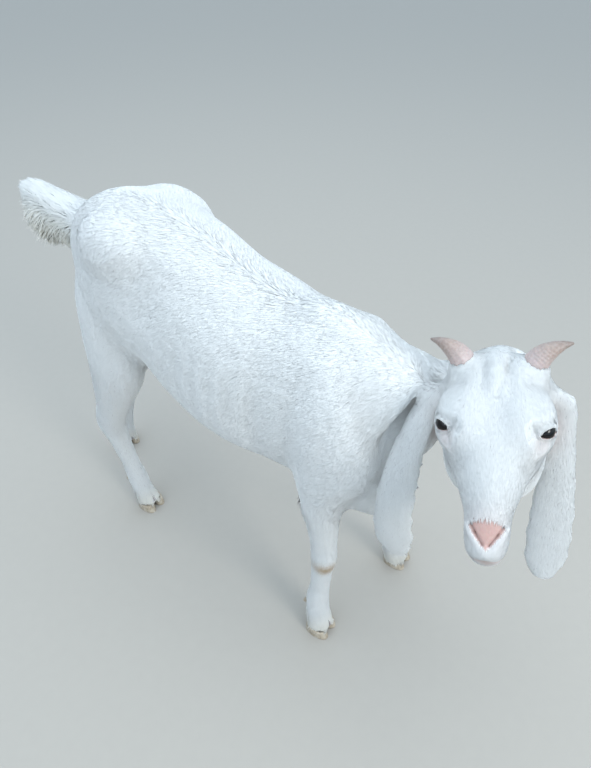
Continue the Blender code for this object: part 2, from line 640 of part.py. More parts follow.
def main():
    clear_scene()
    masses = [trunk_mass(), withers_mass(), neck_mass(), tail_mass()]
    for side in SIDES:
        masses.append(hip_mass(side))
        masses.append(foreleg_mass(side, FORELEGS[side]))
        masses.append(hindleg_mass(side, HINDLEGS[side]))
    body = fuse("body", masses, BODY_VOXEL, BODY_SOFTNESS, BODY_TRIANGLES)
    skull = fuse("skull", head_masses(), HEAD_VOXEL, HEAD_SOFTNESS, HEAD_TRIANGLES)
    part_head(body, skull)
    for leg in (*FORELEGS.values(), *HINDLEGS.values()):
        carve(body, foot_cutters(leg.foot))
    named = {"head": add_guide("head", loose_meshes(skull)[0])}
    for name, mesh in part_body(body).items():
        named[name] = add_guide(name, mesh)
    named["neck"] = trimmed("neck", named["neck"], [named["head"]])

    flesh = make_material("white coat", (0.86, 0.86, 0.83), 0.85)
    horn = make_material("pale horn", (0.62, 0.49, 0.41), 0.55)
    glass = make_material("dark eye", (0.03, 0.03, 0.04), 0.10)
    hoof = make_material("grey hoof", (0.16, 0.14, 0.12), 0.60)
    paints = {name: flesh for name in named}
    for side in SIDES:
        near = [named["head"], named["neck"], named["trunk"]]
        named[f"ear_{side}"] = trimmed(f"ear_{side}", ear_guide(side), near)
        paints[f"ear_{side}"] = flesh
        named[f"horn_{side}"] = trimmed(f"horn_{side}", horn_guide(side), [named["head"]])
        paints[f"horn_{side}"] = horn
        eye = ellipsoid(f"eye_{side}", head_frame() @ eye_centre(side), (EYE_RADIUS,) * 3, segments=16)
        named[f"eye_{side}"] = eye
        paints[f"eye_{side}"] = glass
        for limb, leg in (("fore", FORELEGS[side]), ("hind", HINDLEGS[side])):
            for place, inner in (("inner", -SIDES[side]), ("outer", SIDES[side])):
                name = f"{limb}claw_{side}_{place}"
                named[name] = claw_guide(name, leg.foot, inner)
                paints[name] = hoof
                name = f"{limb}dewclaw_{side}_{place}"
                shank = named[f"{limb}leg_{side}_lower"]
                named[name] = trimmed(name, dewclaw_guide(name, leg.fetlock, inner), [shank])
                paints[name] = hoof
    corners = [vert.co for piece in named.values() for vert in piece.data.vertices]
    low = [min(corner[axis] for corner in corners) for axis in range(3)]
    high = [max(corner[axis] for corner in corners) for axis in range(3)]
    shift = Vector(((low[0] + high[0]) / -2.0, (low[1] + high[1]) / -2.0, -low[2]))
    solids = {name: piece.data for name, piece in named.items()}
    for piece in list(CUTTERS.objects):
        bpy.data.objects.remove(piece, do_unlink=True)
    for name, mesh in solids.items():
        mesh.transform(Matrix.Translation(shift))
        add_part(name, mesh, paints[name])


if __name__ == "__main__":
    main()
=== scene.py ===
"""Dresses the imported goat: one skin, a coat of tufts, eyes, horns, hooves and a plain studio.

Everything is in metres in the goat's own frame: it stands on z = 0 and faces -Y, and its left
side is at +X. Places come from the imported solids; the head keeps a frame of its own, found from
the two eyeballs, with x to the goat's left, y back and z up.
"""

import math

import bmesh
import bpy
import numpy as np
from mathutils import Matrix, Vector
from mathutils.bvhtree import BVHTree
from mathutils.kdtree import KDTree


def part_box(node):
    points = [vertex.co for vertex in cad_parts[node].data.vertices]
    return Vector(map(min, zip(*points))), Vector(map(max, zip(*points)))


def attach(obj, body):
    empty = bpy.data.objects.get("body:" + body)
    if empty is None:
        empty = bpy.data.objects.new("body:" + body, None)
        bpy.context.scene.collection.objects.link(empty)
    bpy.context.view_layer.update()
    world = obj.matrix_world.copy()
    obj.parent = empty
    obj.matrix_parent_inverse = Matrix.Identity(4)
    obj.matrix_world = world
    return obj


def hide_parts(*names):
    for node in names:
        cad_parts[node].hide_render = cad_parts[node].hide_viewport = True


bl_info = {
    "name": "White Goat",
    "version": (1, 0, 0),
    "blender": (4, 5, 0),
    "location": "View3D > Sidebar > Goat",
    "description": "Skin, coat, eyes, horns and hooves for a packed goat figure, and its studio",
    "category": "Add Mesh",
}

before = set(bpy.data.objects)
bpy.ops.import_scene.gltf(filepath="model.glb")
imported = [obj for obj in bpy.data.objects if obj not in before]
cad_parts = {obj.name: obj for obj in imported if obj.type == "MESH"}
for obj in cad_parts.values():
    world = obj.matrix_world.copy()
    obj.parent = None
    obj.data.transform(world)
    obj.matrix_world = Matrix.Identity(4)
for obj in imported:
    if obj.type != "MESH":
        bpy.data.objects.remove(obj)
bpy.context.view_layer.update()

LIMBS = ("foreleg", "hindleg")
SIDES = {"right": -1.0, "left": 1.0}
LEG_NODES = [f"{limb}_{side}_{part}" for limb in LIMBS for side in SIDES for part in ("upper", "lower")]
EAR_NODES = [f"ear_{side}" for side in SIDES]
UPPER_LEGS = [name for name in LEG_NODES if name.endswith("upper")]
LOWER_LEGS = [name for name in LEG_NODES if name.endswith("lower")]
FLESH_NODES = ["trunk", "neck", "head", "tail", *EAR_NODES, *LEG_NODES]
CLAW_NODES = [
    f"{limb}{kind}_{side}_{place}"
    for limb in ("fore", "hind") for kind in ("claw", "dewclaw")
    for side in SIDES for place in ("inner", "outer")
]


# --- Sizes and colours a user would change ---

def length(name, description, default):
    return bpy.props.FloatProperty(name=name, description=description, default=default,
                                   min=0.0, unit="LENGTH", precision=4)


def colour(name, description, default):
    return bpy.props.FloatVectorProperty(name=name, description=description, subtype="COLOR",
                                         size=3, min=0.0, max=1.0, default=default)


def srgb(code):
    """An sRGB hex colour as linear red, green and blue."""
    parts = [int(code[place:place + 2], 16) / 255.0 for place in (0, 2, 4)]
    return tuple(((part + 0.055) / 1.055) ** 2.4 if part > 0.04045 else part / 12.92 for part in parts)


class GoatSkinSettings(bpy.types.PropertyGroup):
    voxel: length("Skin grain", "Size of the remesh that joins the flesh solids", 0.0038)
    depth: length("Coat depth", "How far the skin of the trunk lies below the coat's tips", 0.0015)
    hide: colour("Hide", "Skin seen between the hairs", srgb("dad6d5"))
    nose: colour("Nose leather", "Bare skin between the nostrils", srgb("997d77"))


class GoatCoatSettings(bpy.types.PropertyGroup):
    length: length("Hair length", "Length of a tuft on the trunk", 0.016)
    width: length("Tuft width", "Width of a tuft on the trunk", 0.0015)
    fullness: bpy.props.FloatProperty(name="Fullness", description="Share of all tufts that are made",
                                      default=1.0, min=0.01, max=1.0)
    white: colour("White hair", "Clean hair of back and flanks", srgb("fcfcfb"))
    cream: colour("Cream hair", "Hair under the tail and on the feet", srgb("f1e9d8"))


class GoatHornSettings(bpy.types.PropertyGroup):
    ring_spacing: length("Ring spacing", "Growth rings along a horn", 0.0032)
    base: colour("Horn base", "Young horn beside the skin", srgb("b9a7a4"))
    tip: colour("Horn tip", "Older horn at the tip", srgb("6b5f56"))
    hoof: colour("Hoof", "Wall of the claws", srgb("b3a48f"))


class GoatEyeSettings(bpy.types.PropertyGroup):
    iris: colour("Iris", "Dark iris of a young goat", srgb("1f1714"))
    pupil: colour("Pupil", "Slot of the pupil", srgb("07080b"))


class GoatStageSettings(bpy.types.PropertyGroup):
    floor: colour("Floor", "Plain pale studio floor", srgb("aca69e"))
    lens: bpy.props.FloatProperty(name="Lens", description="Focal length in millimetres on a "
                                  "36 mm sensor", default=27.28, min=10.0, max=100.0)


# --- The head's frame ---

HEAD_YAW = math.radians(-69.6)
HEAD_NOD = math.radians(13.0)
HEAD_TILT = math.radians(-11.2)
EYES_FROM_POLL = Vector((0.0, -0.062, -0.019))
CAMERA_FROM_POLL = Vector((-0.448, -0.085, 0.337))


def node_middle(name):
    low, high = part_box(name)
    return (low + high) / 2.0


def trunk_middle():
    """Where the middle of the trunk lies, from side to side."""
    low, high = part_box("trunk")
    return (low.x + high.x) / 2.0


def head_frame():
    """The poll's place and the head's turn, found from the two eyeballs."""
    turn = Matrix.Rotation(HEAD_YAW, 4, "Z") @ Matrix.Rotation(HEAD_NOD, 4, "X")
    turn = turn @ Matrix.Rotation(HEAD_TILT, 4, "Y")
    between_eyes = (node_middle("eye_left") + node_middle("eye_right")) / 2.0
    return Matrix.Translation(between_eyes - turn.to_3x3() @ EYES_FROM_POLL) @ turn


HEAD = head_frame()
HEAD_TURN = np.array(HEAD.to_3x3())
POLL = np.array(HEAD.translation)
EYE_RADIUS = float((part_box("eye_left")[1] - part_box("eye_left")[0]).z) / 2.0


def mirrored(out, place):
    """A place given for the left side, carried to the side that out stands for."""
    return (out * place[0], *place[1:])


def to_head(points):
    return (points - POLL) @ HEAD_TURN


def from_head(vectors):
    return vectors @ HEAD_TURN.T


# --- Meshes as arrays ---

def read(items, key, width, kind=np.float32):
    values = np.empty(len(items) * width, kind)
    items.foreach_get(key, values)
    return values.reshape(-1, width) if width > 1 else values


def places(mesh):
    return read(mesh.vertices, "co", 3).astype(float)


def directions(mesh):
    return read(mesh.vertex_normals, "vector", 3).astype(float)


def move(mesh, points):
    mesh.vertices.foreach_set("co", points.astype(np.float32).ravel())
    mesh.update()


def unit(vectors):
    return vectors / np.maximum(np.linalg.norm(vectors, axis=-1, keepdims=True), 1e-9)


def lay_along(vectors, normals):
    """Vectors laid in the plane of the surface, at unit length."""
    return unit(vectors - normals * (vectors * normals).sum(1, keepdims=True))


def capped(values):
    return np.clip(values, 0.0, 1.0)


def vectors(x, y, z):
    """One vector for each point, from columns and single numbers."""
    return np.stack(np.broadcast_arrays(x, y, z), 1)


def inside(points, low, high):
    return ((points > np.array(low)) & (points < np.array(high))).all(1)


def ease(values, low, high):
    """0 at low and 1 at high, with a soft start and end."""
    share = capped((values - low) / (high - low))
    return share * share * (3.0 - 2.0 * share)


def neighbours(mesh):
    edges = read(mesh.edges, "vertices", 2, np.int32)
    ends = np.concatenate([edges, edges[:, ::-1]])
    count = len(mesh.vertices)
    return ends, np.maximum(np.bincount(ends[:, 0], minlength=count), 1)


def averaged(values, links):
    """Each vertex's mean over its neighbours, for one column or several."""
    ends, degree = links
    table = values.reshape(len(values), -1)
    means = [np.bincount(ends[:, 0], table[ends[:, 1], column], len(values)) / degree
             for column in range(table.shape[1])]
    return np.stack(means, 1).reshape(values.shape)


def blurred(values, links, rounds):
    for _ in range(rounds):
        values = 0.5 * values + 0.5 * averaged(values, links)
    return values


def evened(points, links, rounds, where=1.0):
    """Smooth a surface without shrinking it: a step in, then a slightly longer step out."""
    for _ in range(rounds):
        for step in (0.5, -0.53):
            points = points + (averaged(points, links) - points) * step * where
    return points


def bell(points, centre, radii):
    """1 at a centre, falling smoothly to nothing a couple of radii away."""
    away = points - np.array(centre)
    return np.exp(-((away / np.array(radii)) ** 2).sum(1))


def near_line(points, start, end, width):
    """1 on a line and nothing well beside it; and how far along the line each point is."""
    start, end = np.array(start), np.array(end)
    run = end - start
    share = capped(((points - start) @ run) / (run @ run))
    away = points - start - share[:, None] * run
    return np.exp(-(away ** 2).sum(1) / width ** 2), share


def nearest_label(cloud, labels, points):
    """For each point, the whole number that goes with the nearest point of a cloud."""
    tree = KDTree(len(cloud))
    for place, label in zip(cloud, labels):
        tree.insert(place, int(label))
    tree.balance()
    return np.array([tree.find(point)[1] for point in points])


# --- Materials: one function adds a node with its settings and links ---

BLACK = (0.0, 0.0, 0.0)
WHITE = (1.0, 1.0, 1.0)


def add(tree, kind, links=(), **settings):
    node = tree.nodes.new(kind)
    for key, value in settings.items():
        setattr(node, key, value)
    for socket, source in dict(links).items():
        if isinstance(source, bpy.types.NodeSocket):
            tree.links.new(source, node.inputs[socket])
        else:
            node.inputs[socket].default_value = source
    return node


def new_material(name, **sockets):
    """An empty material, its node tree, and each point's own place for the textures."""
    material = bpy.data.materials.new(name)
    material.use_nodes = True
    tree = material.node_tree
    for key, value in sockets.items():
        tree.nodes["Principled BSDF"].inputs[key.replace("_", " ")].default_value = value
    return material, tree, add(tree, "ShaderNodeTexCoord").outputs["Object"]


def coloured(material, tone, relief=None, strength=0.0, distance=0.0):
    """The material with its colour and, where one is given, its fine relief."""
    tree = material.node_tree
    shader = tree.nodes["Principled BSDF"]
    tree.links.new(tone, shader.inputs["Base Color"])
    if relief:
        bump = add(tree, "ShaderNodeBump", {"Height": relief, "Strength": strength, "Distance": distance})
        tree.links.new(bump.outputs["Normal"], shader.inputs["Normal"])
    return material


def opaque(tone):
    """A colour with full alpha; a socket stays as it is."""
    return tone if isinstance(tone, bpy.types.NodeSocket) else (*tone, 1.0)


def ramp(tree, source, stops):
    node = add(tree, "ShaderNodeValToRGB", {"Fac": source})
    while len(node.color_ramp.elements) < len(stops):
        node.color_ramp.elements.new(0.5)
    for element, (place, rgb) in zip(node.color_ramp.elements, stops):
        element.position = place
        element.color = opaque(rgb)
    return node.outputs["Color"]


def noise(tree, place, scale, detail):
    node = add(tree, "ShaderNodeTexNoise", {"Vector": place, "Scale": scale, "Detail": detail})
    return node.outputs["Fac"]


def blend_colours(tree, share, first, second, how="MIX"):
    links = {0: share, 6: opaque(first), 7: opaque(second)}
    return add(tree, "ShaderNodeMix", links, data_type="RGBA", blend_type=how).outputs[2]


def painted(tree, name):
    """The value that a named attribute of the mesh holds."""
    return add(tree, "ShaderNodeAttribute", attribute_name=name).outputs["Fac"]


def marked(tree, tone, marks):
    """A tone with colours laid over it, each where the attribute of that name is painted."""
    for name, rgb in marks.items():
        tone = blend_colours(tree, painted(tree, name), tone, rgb)
    return tone


def set_attribute(mesh, name, values):
    layer = mesh.attributes.new(name, "FLOAT", "POINT")
    layer.data.foreach_set("value", values.astype(np.float32))


def hide_material(skin):
    """Bare goat hide: thin, soft and slightly moist where no hair grows, with pebbled nose leather."""
    material, tree, place = new_material("bare goat hide", Roughness=0.55, IOR=1.4, Sheen_Weight=0.15,
                                         Subsurface_Weight=0.1, Subsurface_Scale=0.004)
    pebbles = add(tree, "ShaderNodeTexVoronoi", {"Vector": place, "Scale": 1100.0})
    rose = ramp(tree, noise(tree, place, 260.0, 3.0), [(0.25, srgb("856660")), (0.75, skin.nose)])
    # The dark mark is painted shade: nostril slits, mouth seam, inner lid rims and the gaps between the
    # claws.
    tone = marked(tree, skin.hide, {"bare": rose, "rosy": srgb("d3aca2"), "dark": srgb("3a221c")})
    return coloured(material, tone, pebbles.outputs["Distance"], 0.25, 0.0004)


def coat_material(coat):
    """Short, clean, straight goat hair: matt, with a soft sheen where it lies flat."""
    material, tree, place = new_material(
        "short straight goat hair", Roughness=0.62, IOR=1.5, Subsurface_Weight=0.45,
        Subsurface_Radius=(1.0, 1.0, 1.0), Subsurface_Scale=0.0015, Sheen_Weight=0.25, Sheen_Roughness=0.5)
    warm = blend_colours(tree, noise(tree, place, 14.0, 4.0), coat.white, srgb("f2f2ef"))
    warm = marked(tree, warm, {"cream": coat.cream, "stain": srgb("b08c5c"), "rosy": srgb("e8c6bb")})
    shade = ramp(tree, painted(tree, "strand"), [(0.0, (0.95, 0.95, 0.95)), (1.0, WHITE)])
    return coloured(material, blend_colours(tree, 1.0, warm, shade, "MULTIPLY"))


def horn_material(horns):
    """Young horn: a keratin cone with fine rings, pale and pinkish at the root, dull and grey above."""
    material, tree, place = new_material("ringed young horn", Roughness=0.48, IOR=1.55,
                                         Subsurface_Weight=0.05, Subsurface_Scale=0.002)
    streaks = noise(tree, place, 420.0, 4.0)
    along = ramp(tree, painted(tree, "along"),
                 [(0.15, horns.base), (0.62, srgb("968378")), (0.95, horns.tip)])
    streaked = ramp(tree, streaks, [(0.3, srgb("95817a")), (0.7, srgb("c4b2ac"))])
    return coloured(material, blend_colours(tree, 0.35, along, streaked), streaks, 0.35, 0.0005)


def hoof_material(horns):
    """Hoof wall: keratin with fine upright fibres, dusty in patches, and dark between the claws, which is
    painted shade of the gap between them.
    """
    material, tree, place = new_material("dusty hoof horn", Roughness=0.62, IOR=1.55)
    upright = add(tree, "ShaderNodeMapping", {"Vector": place, "Scale": (1.0, 1.0, 0.12)})
    fibres = noise(tree, upright.outputs["Vector"], 700.0, 3.0)
    wall = ramp(tree, fibres, [(0.3, srgb("8f8170")), (0.7, horns.hoof)])
    dusty = ramp(tree, noise(tree, place, 130.0, 5.0), [(0.45, BLACK), (0.7, (0.6, 0.6, 0.6))])
    tone = blend_colours(tree, dusty, wall, srgb("cdc3b2"))
    # The dark mark is painted shade on the walls that face the gap between the claws.
    tone = marked(tree, tone, {"dark": srgb("1d1916")})
    return coloured(material, tone, fibres, 0.4, 0.0004)


def eye_material(eyes):
    """A wet eyeball: dark brown iris, a level slot for a pupil, and a dark rim before the white."""
    material, tree, place = new_material("wet dark eye", Roughness=0.05, IOR=1.376)
    ball = ramp(tree, noise(tree, place, 900.0, 2.0), [(0.3, srgb("0e0b0b")), (0.75, eyes.iris)])
    for low, high, ring in ((0.6, 0.72, srgb("0c0a0c")), (0.86, 0.95, srgb("7d655e"))):
        beyond = ramp(tree, painted(tree, "from_axis"), [(low, BLACK), (high, WHITE)])
        ball = blend_colours(tree, beyond, ball, ring)
    return coloured(material, marked(tree, ball, {"slot": eyes.pupil}))


# --- Making pieces ---

def new_piece(name, mesh, material, nodes=()):
    """Put a finished piece in the scene: its slot, its body, and the solids it stands for."""
    mesh.materials.clear()
    mesh.materials.append(material)
    piece = bpy.data.objects.new(name, mesh)
    bpy.context.scene.collection.objects.link(piece)
    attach(piece, "root")
    if nodes:
        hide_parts(*nodes)
    return piece


def as_mesh(shape, name):
    """A mesh from a shape under construction, which is then let go."""
    mesh = bpy.data.meshes.new(name)
    shape.to_mesh(mesh)
    shape.free()
    return mesh


def merged_solid(swells):
    """A copy of some solids, each swollen a little so that neighbours overlap, as one mesh."""
    whole = bmesh.new()
    for name, swell in swells.items():
        part = bmesh.new()
        part.from_mesh(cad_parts[name].data)
        bmesh.ops.remove_doubles(part, verts=part.verts, dist=0.00001)
        part.normal_update()
        for vert in part.verts:
            vert.co += vert.normal * swell
        copy = as_mesh(part, name)
        whole.from_mesh(copy)
        bpy.data.meshes.remove(copy)
    return as_mesh(whole, "merged")


def remeshed(mesh, voxel):
    """The outer surface of a mesh as one even grid of faces."""
    holder = bpy.data.objects.new("remesh", mesh)
    bpy.context.scene.collection.objects.link(holder)
    grid = holder.modifiers.new("one surface", "REMESH")
    grid.mode = "VOXEL"
    grid.voxel_size = voxel
    graph = bpy.context.evaluated_depsgraph_get()
    fresh = bpy.data.meshes.new_from_object(holder.evaluated_get(graph))
    bpy.data.objects.remove(holder, do_unlink=True)
    return fresh


def refined(mesh, chosen):
    """Halve the edges of the chosen vertices' faces."""
    bm = bmesh.new()
    bm.from_mesh(mesh)
    bm.verts.ensure_lookup_table()
    wanted = set(np.flatnonzero(chosen).tolist())
    faces = [face for face in bm.faces if all(vert.index in wanted for vert in face.verts)]
    edges = list({edge for face in faces for edge in face.edges})
    bmesh.ops.subdivide_edges(bm, edges=edges, cuts=1, use_grid_fill=True)
    bm.to_mesh(mesh)
    bm.free()
    mesh.update()


# --- The skin ---

def densified(name):
    """Points all over a solid's surface, close enough together to tell neighbours apart."""
    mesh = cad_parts[name].data
    corners = places(mesh)[read(mesh.polygons, "vertices", 3, np.int32)]
    steps = [(i / 4.0, j / 4.0) for i in range(5) for j in range(5 - i)]
    return np.concatenate([corners[:, 0] * (1 - a - b) + corners[:, 1] * a + corners[:, 2] * b
                           for a, b in steps])


EAR_HOLLOW = (-0.062, 0.014, -0.05)
SWELL = 0.0006
EAR_SWELLS = {"ear_right": 0.0012, "ear_left": 0.002}
ROUNDS = {"whole": 9, "parts": 14, "folds": 24, "ears": 60, "ears again": 30, "hollow": 160}
FACE = ((-0.055, -0.2, -0.085), (0.055, 0.01, 0.03))
FAR = 10.0
MUZZLE = ((-FAR, -0.2, -0.075), (FAR, -0.14, FAR))
FRONT = ((-0.066, -FAR, -FAR), (0.066, FAR, 0.02))


class Skin:
    """The skin's mesh and what is known of it at each vertex."""

    def __init__(self, settings):
        self.settings = settings
        swells = {name: EAR_SWELLS.get(name, SWELL) for name in [*FLESH_NODES, "eye_left", "eye_right"]}
        self.mesh = remeshed(merged_solid(swells), settings.voxel)
        move(self.mesh, evened(places(self.mesh), neighbours(self.mesh), ROUNDS["whole"]))
        self.refine_face()
        self.links = neighbours(self.mesh)
        self.points = places(self.mesh)
        self.shares = self.part_shares()
        self.smooth_joins()

    def refine_face(self):
        """A finer mesh on the face, and a finer one still at the muzzle and the eyes."""
        local = to_head(places(self.mesh))
        refined(self.mesh, inside(local, *FACE))
        local = to_head(places(self.mesh))
        fine = inside(local, *MUZZLE)
        for out in SIDES.values():
            fine |= bell(local, (out * 0.045, -0.068, -0.013), (0.017, 0.017, 0.017)) > 0.36
        refined(self.mesh, fine & inside(local, *FRONT))

    def smooth_joins(self):
        """Soften the folds between parts, even the ears, and close the pit behind the right ear."""
        ear, neck, head = self.share(*EAR_NODES), self.share("neck"), self.share("head")
        self.relax(ROUNDS["folds"], capped(5.0 * (ear * (neck + head) + head * neck)))
        on_ears = capped(1.2 * ear)[:, None]
        self.points = evened(self.points, self.links, ROUNDS["ears"], on_ears)
        for name, swell in EAR_SWELLS.items():
            self.push((SWELL - swell) * capped(1.2 * self.share(name)))
        self.points = evened(self.points, self.links, ROUNDS["ears again"], on_ears)
        hollow = bell(self.local(), EAR_HOLLOW, (0.02, 0.02, 0.022))
        self.relax(ROUNDS["hollow"], capped(2.5 * hollow - 0.2))
        move(self.mesh, self.points)

    def relax(self, rounds, where):
        """Draw vertices towards their neighbours, as far as a share at each one says."""
        for _ in range(rounds):
            step = averaged(self.points, self.links) - self.points
            self.points = self.points + step * 0.5 * where[:, None]

    def part_shares(self):
        """How much each vertex belongs to each part, running softly from part to part."""
        clouds = [densified(name) for name in FLESH_NODES]
        owners = np.repeat(np.arange(len(clouds)), [len(cloud) for cloud in clouds])
        nearest = nearest_label(np.concatenate(clouds), owners, self.points)
        shares = np.zeros((len(self.points), len(FLESH_NODES)))
        shares[np.arange(len(nearest)), nearest] = 1.0
        return blurred(shares, self.links, ROUNDS["parts"])

    def share(self, *names):
        return sum(self.shares[:, FLESH_NODES.index(name)] for name in names)

    def push(self, amount):
        """Move every vertex along its own normal."""
        move(self.mesh, self.points)
        self.points = self.points + directions(self.mesh) * np.asarray(amount).reshape(-1, 1)
        move(self.mesh, self.points)

    def local(self):
        return to_head(self.points)


def sink_coat_depth(skin):
    """Take the skin down from the tips of the coat by the coat's depth on each part."""
    depth = skin.share("trunk") + skin.share("neck") + skin.share("tail") * 1.3
    depth += skin.share("head") * 0.55 + skin.share(*EAR_NODES) * 0.5
    depth += skin.share(*UPPER_LEGS) * 0.85
    depth += skin.share(*LOWER_LEGS) * 0.65
    skin.depth = blurred(depth * skin.settings.depth, skin.links, 6)
    skin.push(-skin.depth)


# Height, distance in from the trunk's side, y and z of the middle, and radii.
BODY_SWELLS = {
    "flank": (-0.006, 0.0, 0.095, 0.505, (0.045, 0.04, 0.03)),
    "below the loin": (-0.0035, 0.0, 0.03, 0.535, (0.045, 0.07, 0.016)),
    "edge of the loin": (0.0025, 0.012, 0.04, 0.562, (0.03, 0.07, 0.012)),
    "behind the shoulder": (-0.004, 0.0, -0.062, 0.4, (0.05, 0.018, 0.07)),
    "shoulder": (0.003, 0.0, -0.118, 0.41, (0.05, 0.035, 0.06)),
    "before the thigh": (-0.005, 0.0, 0.128, 0.385, (0.05, 0.022, 0.03)),
    "thigh": (0.003, 0.0, 0.2, 0.45, (0.05, 0.05, 0.05)),
}
HALF_TRUNK = 0.08
RIB_SPACING = 0.026


def shape_body(skin):
    """Hollows and swells of a young goat in light condition, with its ribs and withers."""
    middle = trunk_middle()
    points = skin.points
    amount = np.zeros(len(points))
    ribs = np.sin(points[:, 1] * 2.0 * math.pi / RIB_SPACING)
    for out in SIDES.values():
        side = middle + out * HALF_TRUNK
        for height, inset, y, z, radii in BODY_SWELLS.values():
            amount += height * bell(points, (side - out * inset, y, z), radii)
        amount += 0.0006 * ribs * bell(points, (side, 0.0, 0.43), (0.06, 0.075, 0.055))
    amount += 0.003 * bell(points, (middle, -0.1, 0.545), (0.012, 0.06, 0.03))
    skin.push(amount)


NOSTRIL = ((0.014, -0.147, -0.037), (0.0098, -0.156, -0.036), (0.0032, -0.166, -0.037))
MOUTH = ((0.0, -0.174, -0.063), (0.009, -0.17, -0.064), (0.016, -0.156, -0.064),
         (0.0205, -0.132, -0.059))


# Height, place on the left side and radii, in the head's frame.
HEAD_SWELLS = {
    "beside the crown": (-0.0022, (0.011, -0.012, -0.002), (0.004, 0.02, 0.012)),
    "forehead": (0.0018, (0.022, -0.02, -0.004), (0.008, 0.024, 0.012)),
    "brow": (0.0022, (0.04, -0.05, -0.008), (0.01, 0.018, 0.006)),
    "before the eye": (-0.0022, (0.03, -0.088, -0.028), (0.012, 0.02, 0.014)),
    "cheek": (-0.0026, (0.032, -0.105, -0.062), (0.014, 0.024, 0.012)),
    "cheekbone": (0.0018, (0.04, -0.072, -0.046), (0.01, 0.026, 0.008)),
    "lip": (0.0014, (0.012, -0.15, -0.046), (0.008, 0.012, 0.012)),
}


def stretches(points, out):
    """The stretches between a line's points, on the side that out stands for."""
    line = [mirrored(out, point) for point in points]
    return zip(line[:-1], line[1:])


def shape_head(skin):
    """Brows, bridge, cheeks, nostrils and mouth, alike on both sides, and a parting on the crown."""
    local = skin.local()
    amount = 0.0026 * bell(local, (-0.002, -0.012, 0.0), (0.008, 0.026, 0.015))
    amount -= 0.0018 * bell(local, (0.0, -0.058, -0.004), (0.012, 0.022, 0.015))
    parting, share = near_line(local, (0.011, 0.008, -0.004), (0.002, -0.042, 0.0), 0.003)
    amount -= 0.0034 * parting * (1.0 - 0.5 * share)
    amount += 0.001 * bell(local, (0.0, -0.11, -0.02), (0.009, 0.03, 0.012))
    for out in SIDES.values():
        for height, place, radii in HEAD_SWELLS.values():
            amount += height * bell(local, mirrored(out, place), radii)
    skin.push(amount)
    local = skin.local()
    amount, skin.nostrils, skin.lips = np.zeros((3, len(local)))
    for out in SIDES.values():
        beside = np.array([out * 0.0028, 0.0, -0.003])
        for start, end in stretches(NOSTRIL, out):
            slit, _ = near_line(local, start, end, 0.0015)
            skin.nostrils = np.maximum(skin.nostrils, slit)
            wing, _ = near_line(local, start + beside, end + beside, 0.0026)
            amount = np.maximum(amount, 0.0012 * wing)
        for start, end in stretches(MOUTH, out):
            seam, _ = near_line(local, start, end, 0.0014)
            skin.lips = np.maximum(skin.lips, seam)
    skin.groove, _ = near_line(local, (0.0, -0.166, -0.037), (0.0, -0.174, -0.06), 0.0012)
    skin.push(amount - 0.0042 * skin.nostrils - 0.0022 * skin.lips - 0.0014 * skin.groove)


EYE_AXIS = unit(np.array([0.64, -0.58, 0.5]))
LID_HALF_WIDTH = 0.0086
LID_HALF_HEIGHT = 0.0044
LID_DEPTH = 0.0008


def eye_axes(out):
    """An eye's outward axis, the run from its inner corner to its outer, and the way up."""
    axis = EYE_AXIS * np.array([out, 1.0, 1.0])
    slant = np.array([out * 0.76, 0.61, -0.22])
    run = unit(slant - axis * (slant @ axis))
    return axis, run, unit(np.cross(axis, run)) * out


def shape_lids(skin):
    """Draw the skin over each eyeball as two lids, and sink it out of sight in the opening."""
    local = skin.local()
    skin.rims = np.zeros(len(local))
    skin.opening = np.zeros(len(local))
    for side, out in SIDES.items():
        centre = to_head(np.array([node_middle(f"eye_{side}")]))[0]
        axis, run, up = eye_axes(out)
        away = local - centre
        reach = np.linalg.norm(away, axis=1)
        ray = unit(away)
        facing = ray @ axis
        across = (ray @ run) * EYE_RADIUS
        height = (ray @ up) * EYE_RADIUS
        upper = np.where(height > 0.0, LID_HALF_HEIGHT, LID_HALF_HEIGHT * 0.86)
        almond = (np.abs(across) / LID_HALF_WIDTH) ** 1.7 + (np.abs(height) / upper) ** 1.7
        near = (facing > 0.3) & (reach < EYE_RADIUS * 2.2)
        lid = EYE_RADIUS + LID_DEPTH + 0.0005 * np.exp(-((almond - 1.25) / 0.3) ** 2)
        hold = near * (1.0 - ease(almond, 1.7, 4.2))
        goal = np.where(almond < 1.0, EYE_RADIUS - 0.003, lid)
        fresh = reach + (goal - reach) * hold
        local = np.where(near[:, None], centre + ray * fresh[:, None], local)
        skin.rims = np.maximum(skin.rims, near * np.exp(-((almond - 1.02) / 0.2) ** 2))
        skin.opening = np.maximum(skin.opening, near * (almond < 1.15))
        crease = near * np.exp(-((almond - 2.6) / 0.35) ** 2) * ease(height, 0.0, 0.003)
        local = local - ray * (crease * 0.0009)[:, None]
    skin.points = POLL + from_head(local)
    move(skin.mesh, skin.points)


# How far before the poll, and half the width of the nose leather there.
NOSE_OUTLINE = ([0.142, 0.148, 0.156, 0.166, 0.172], [0.01, 0.0148, 0.011, 0.003, -0.002])


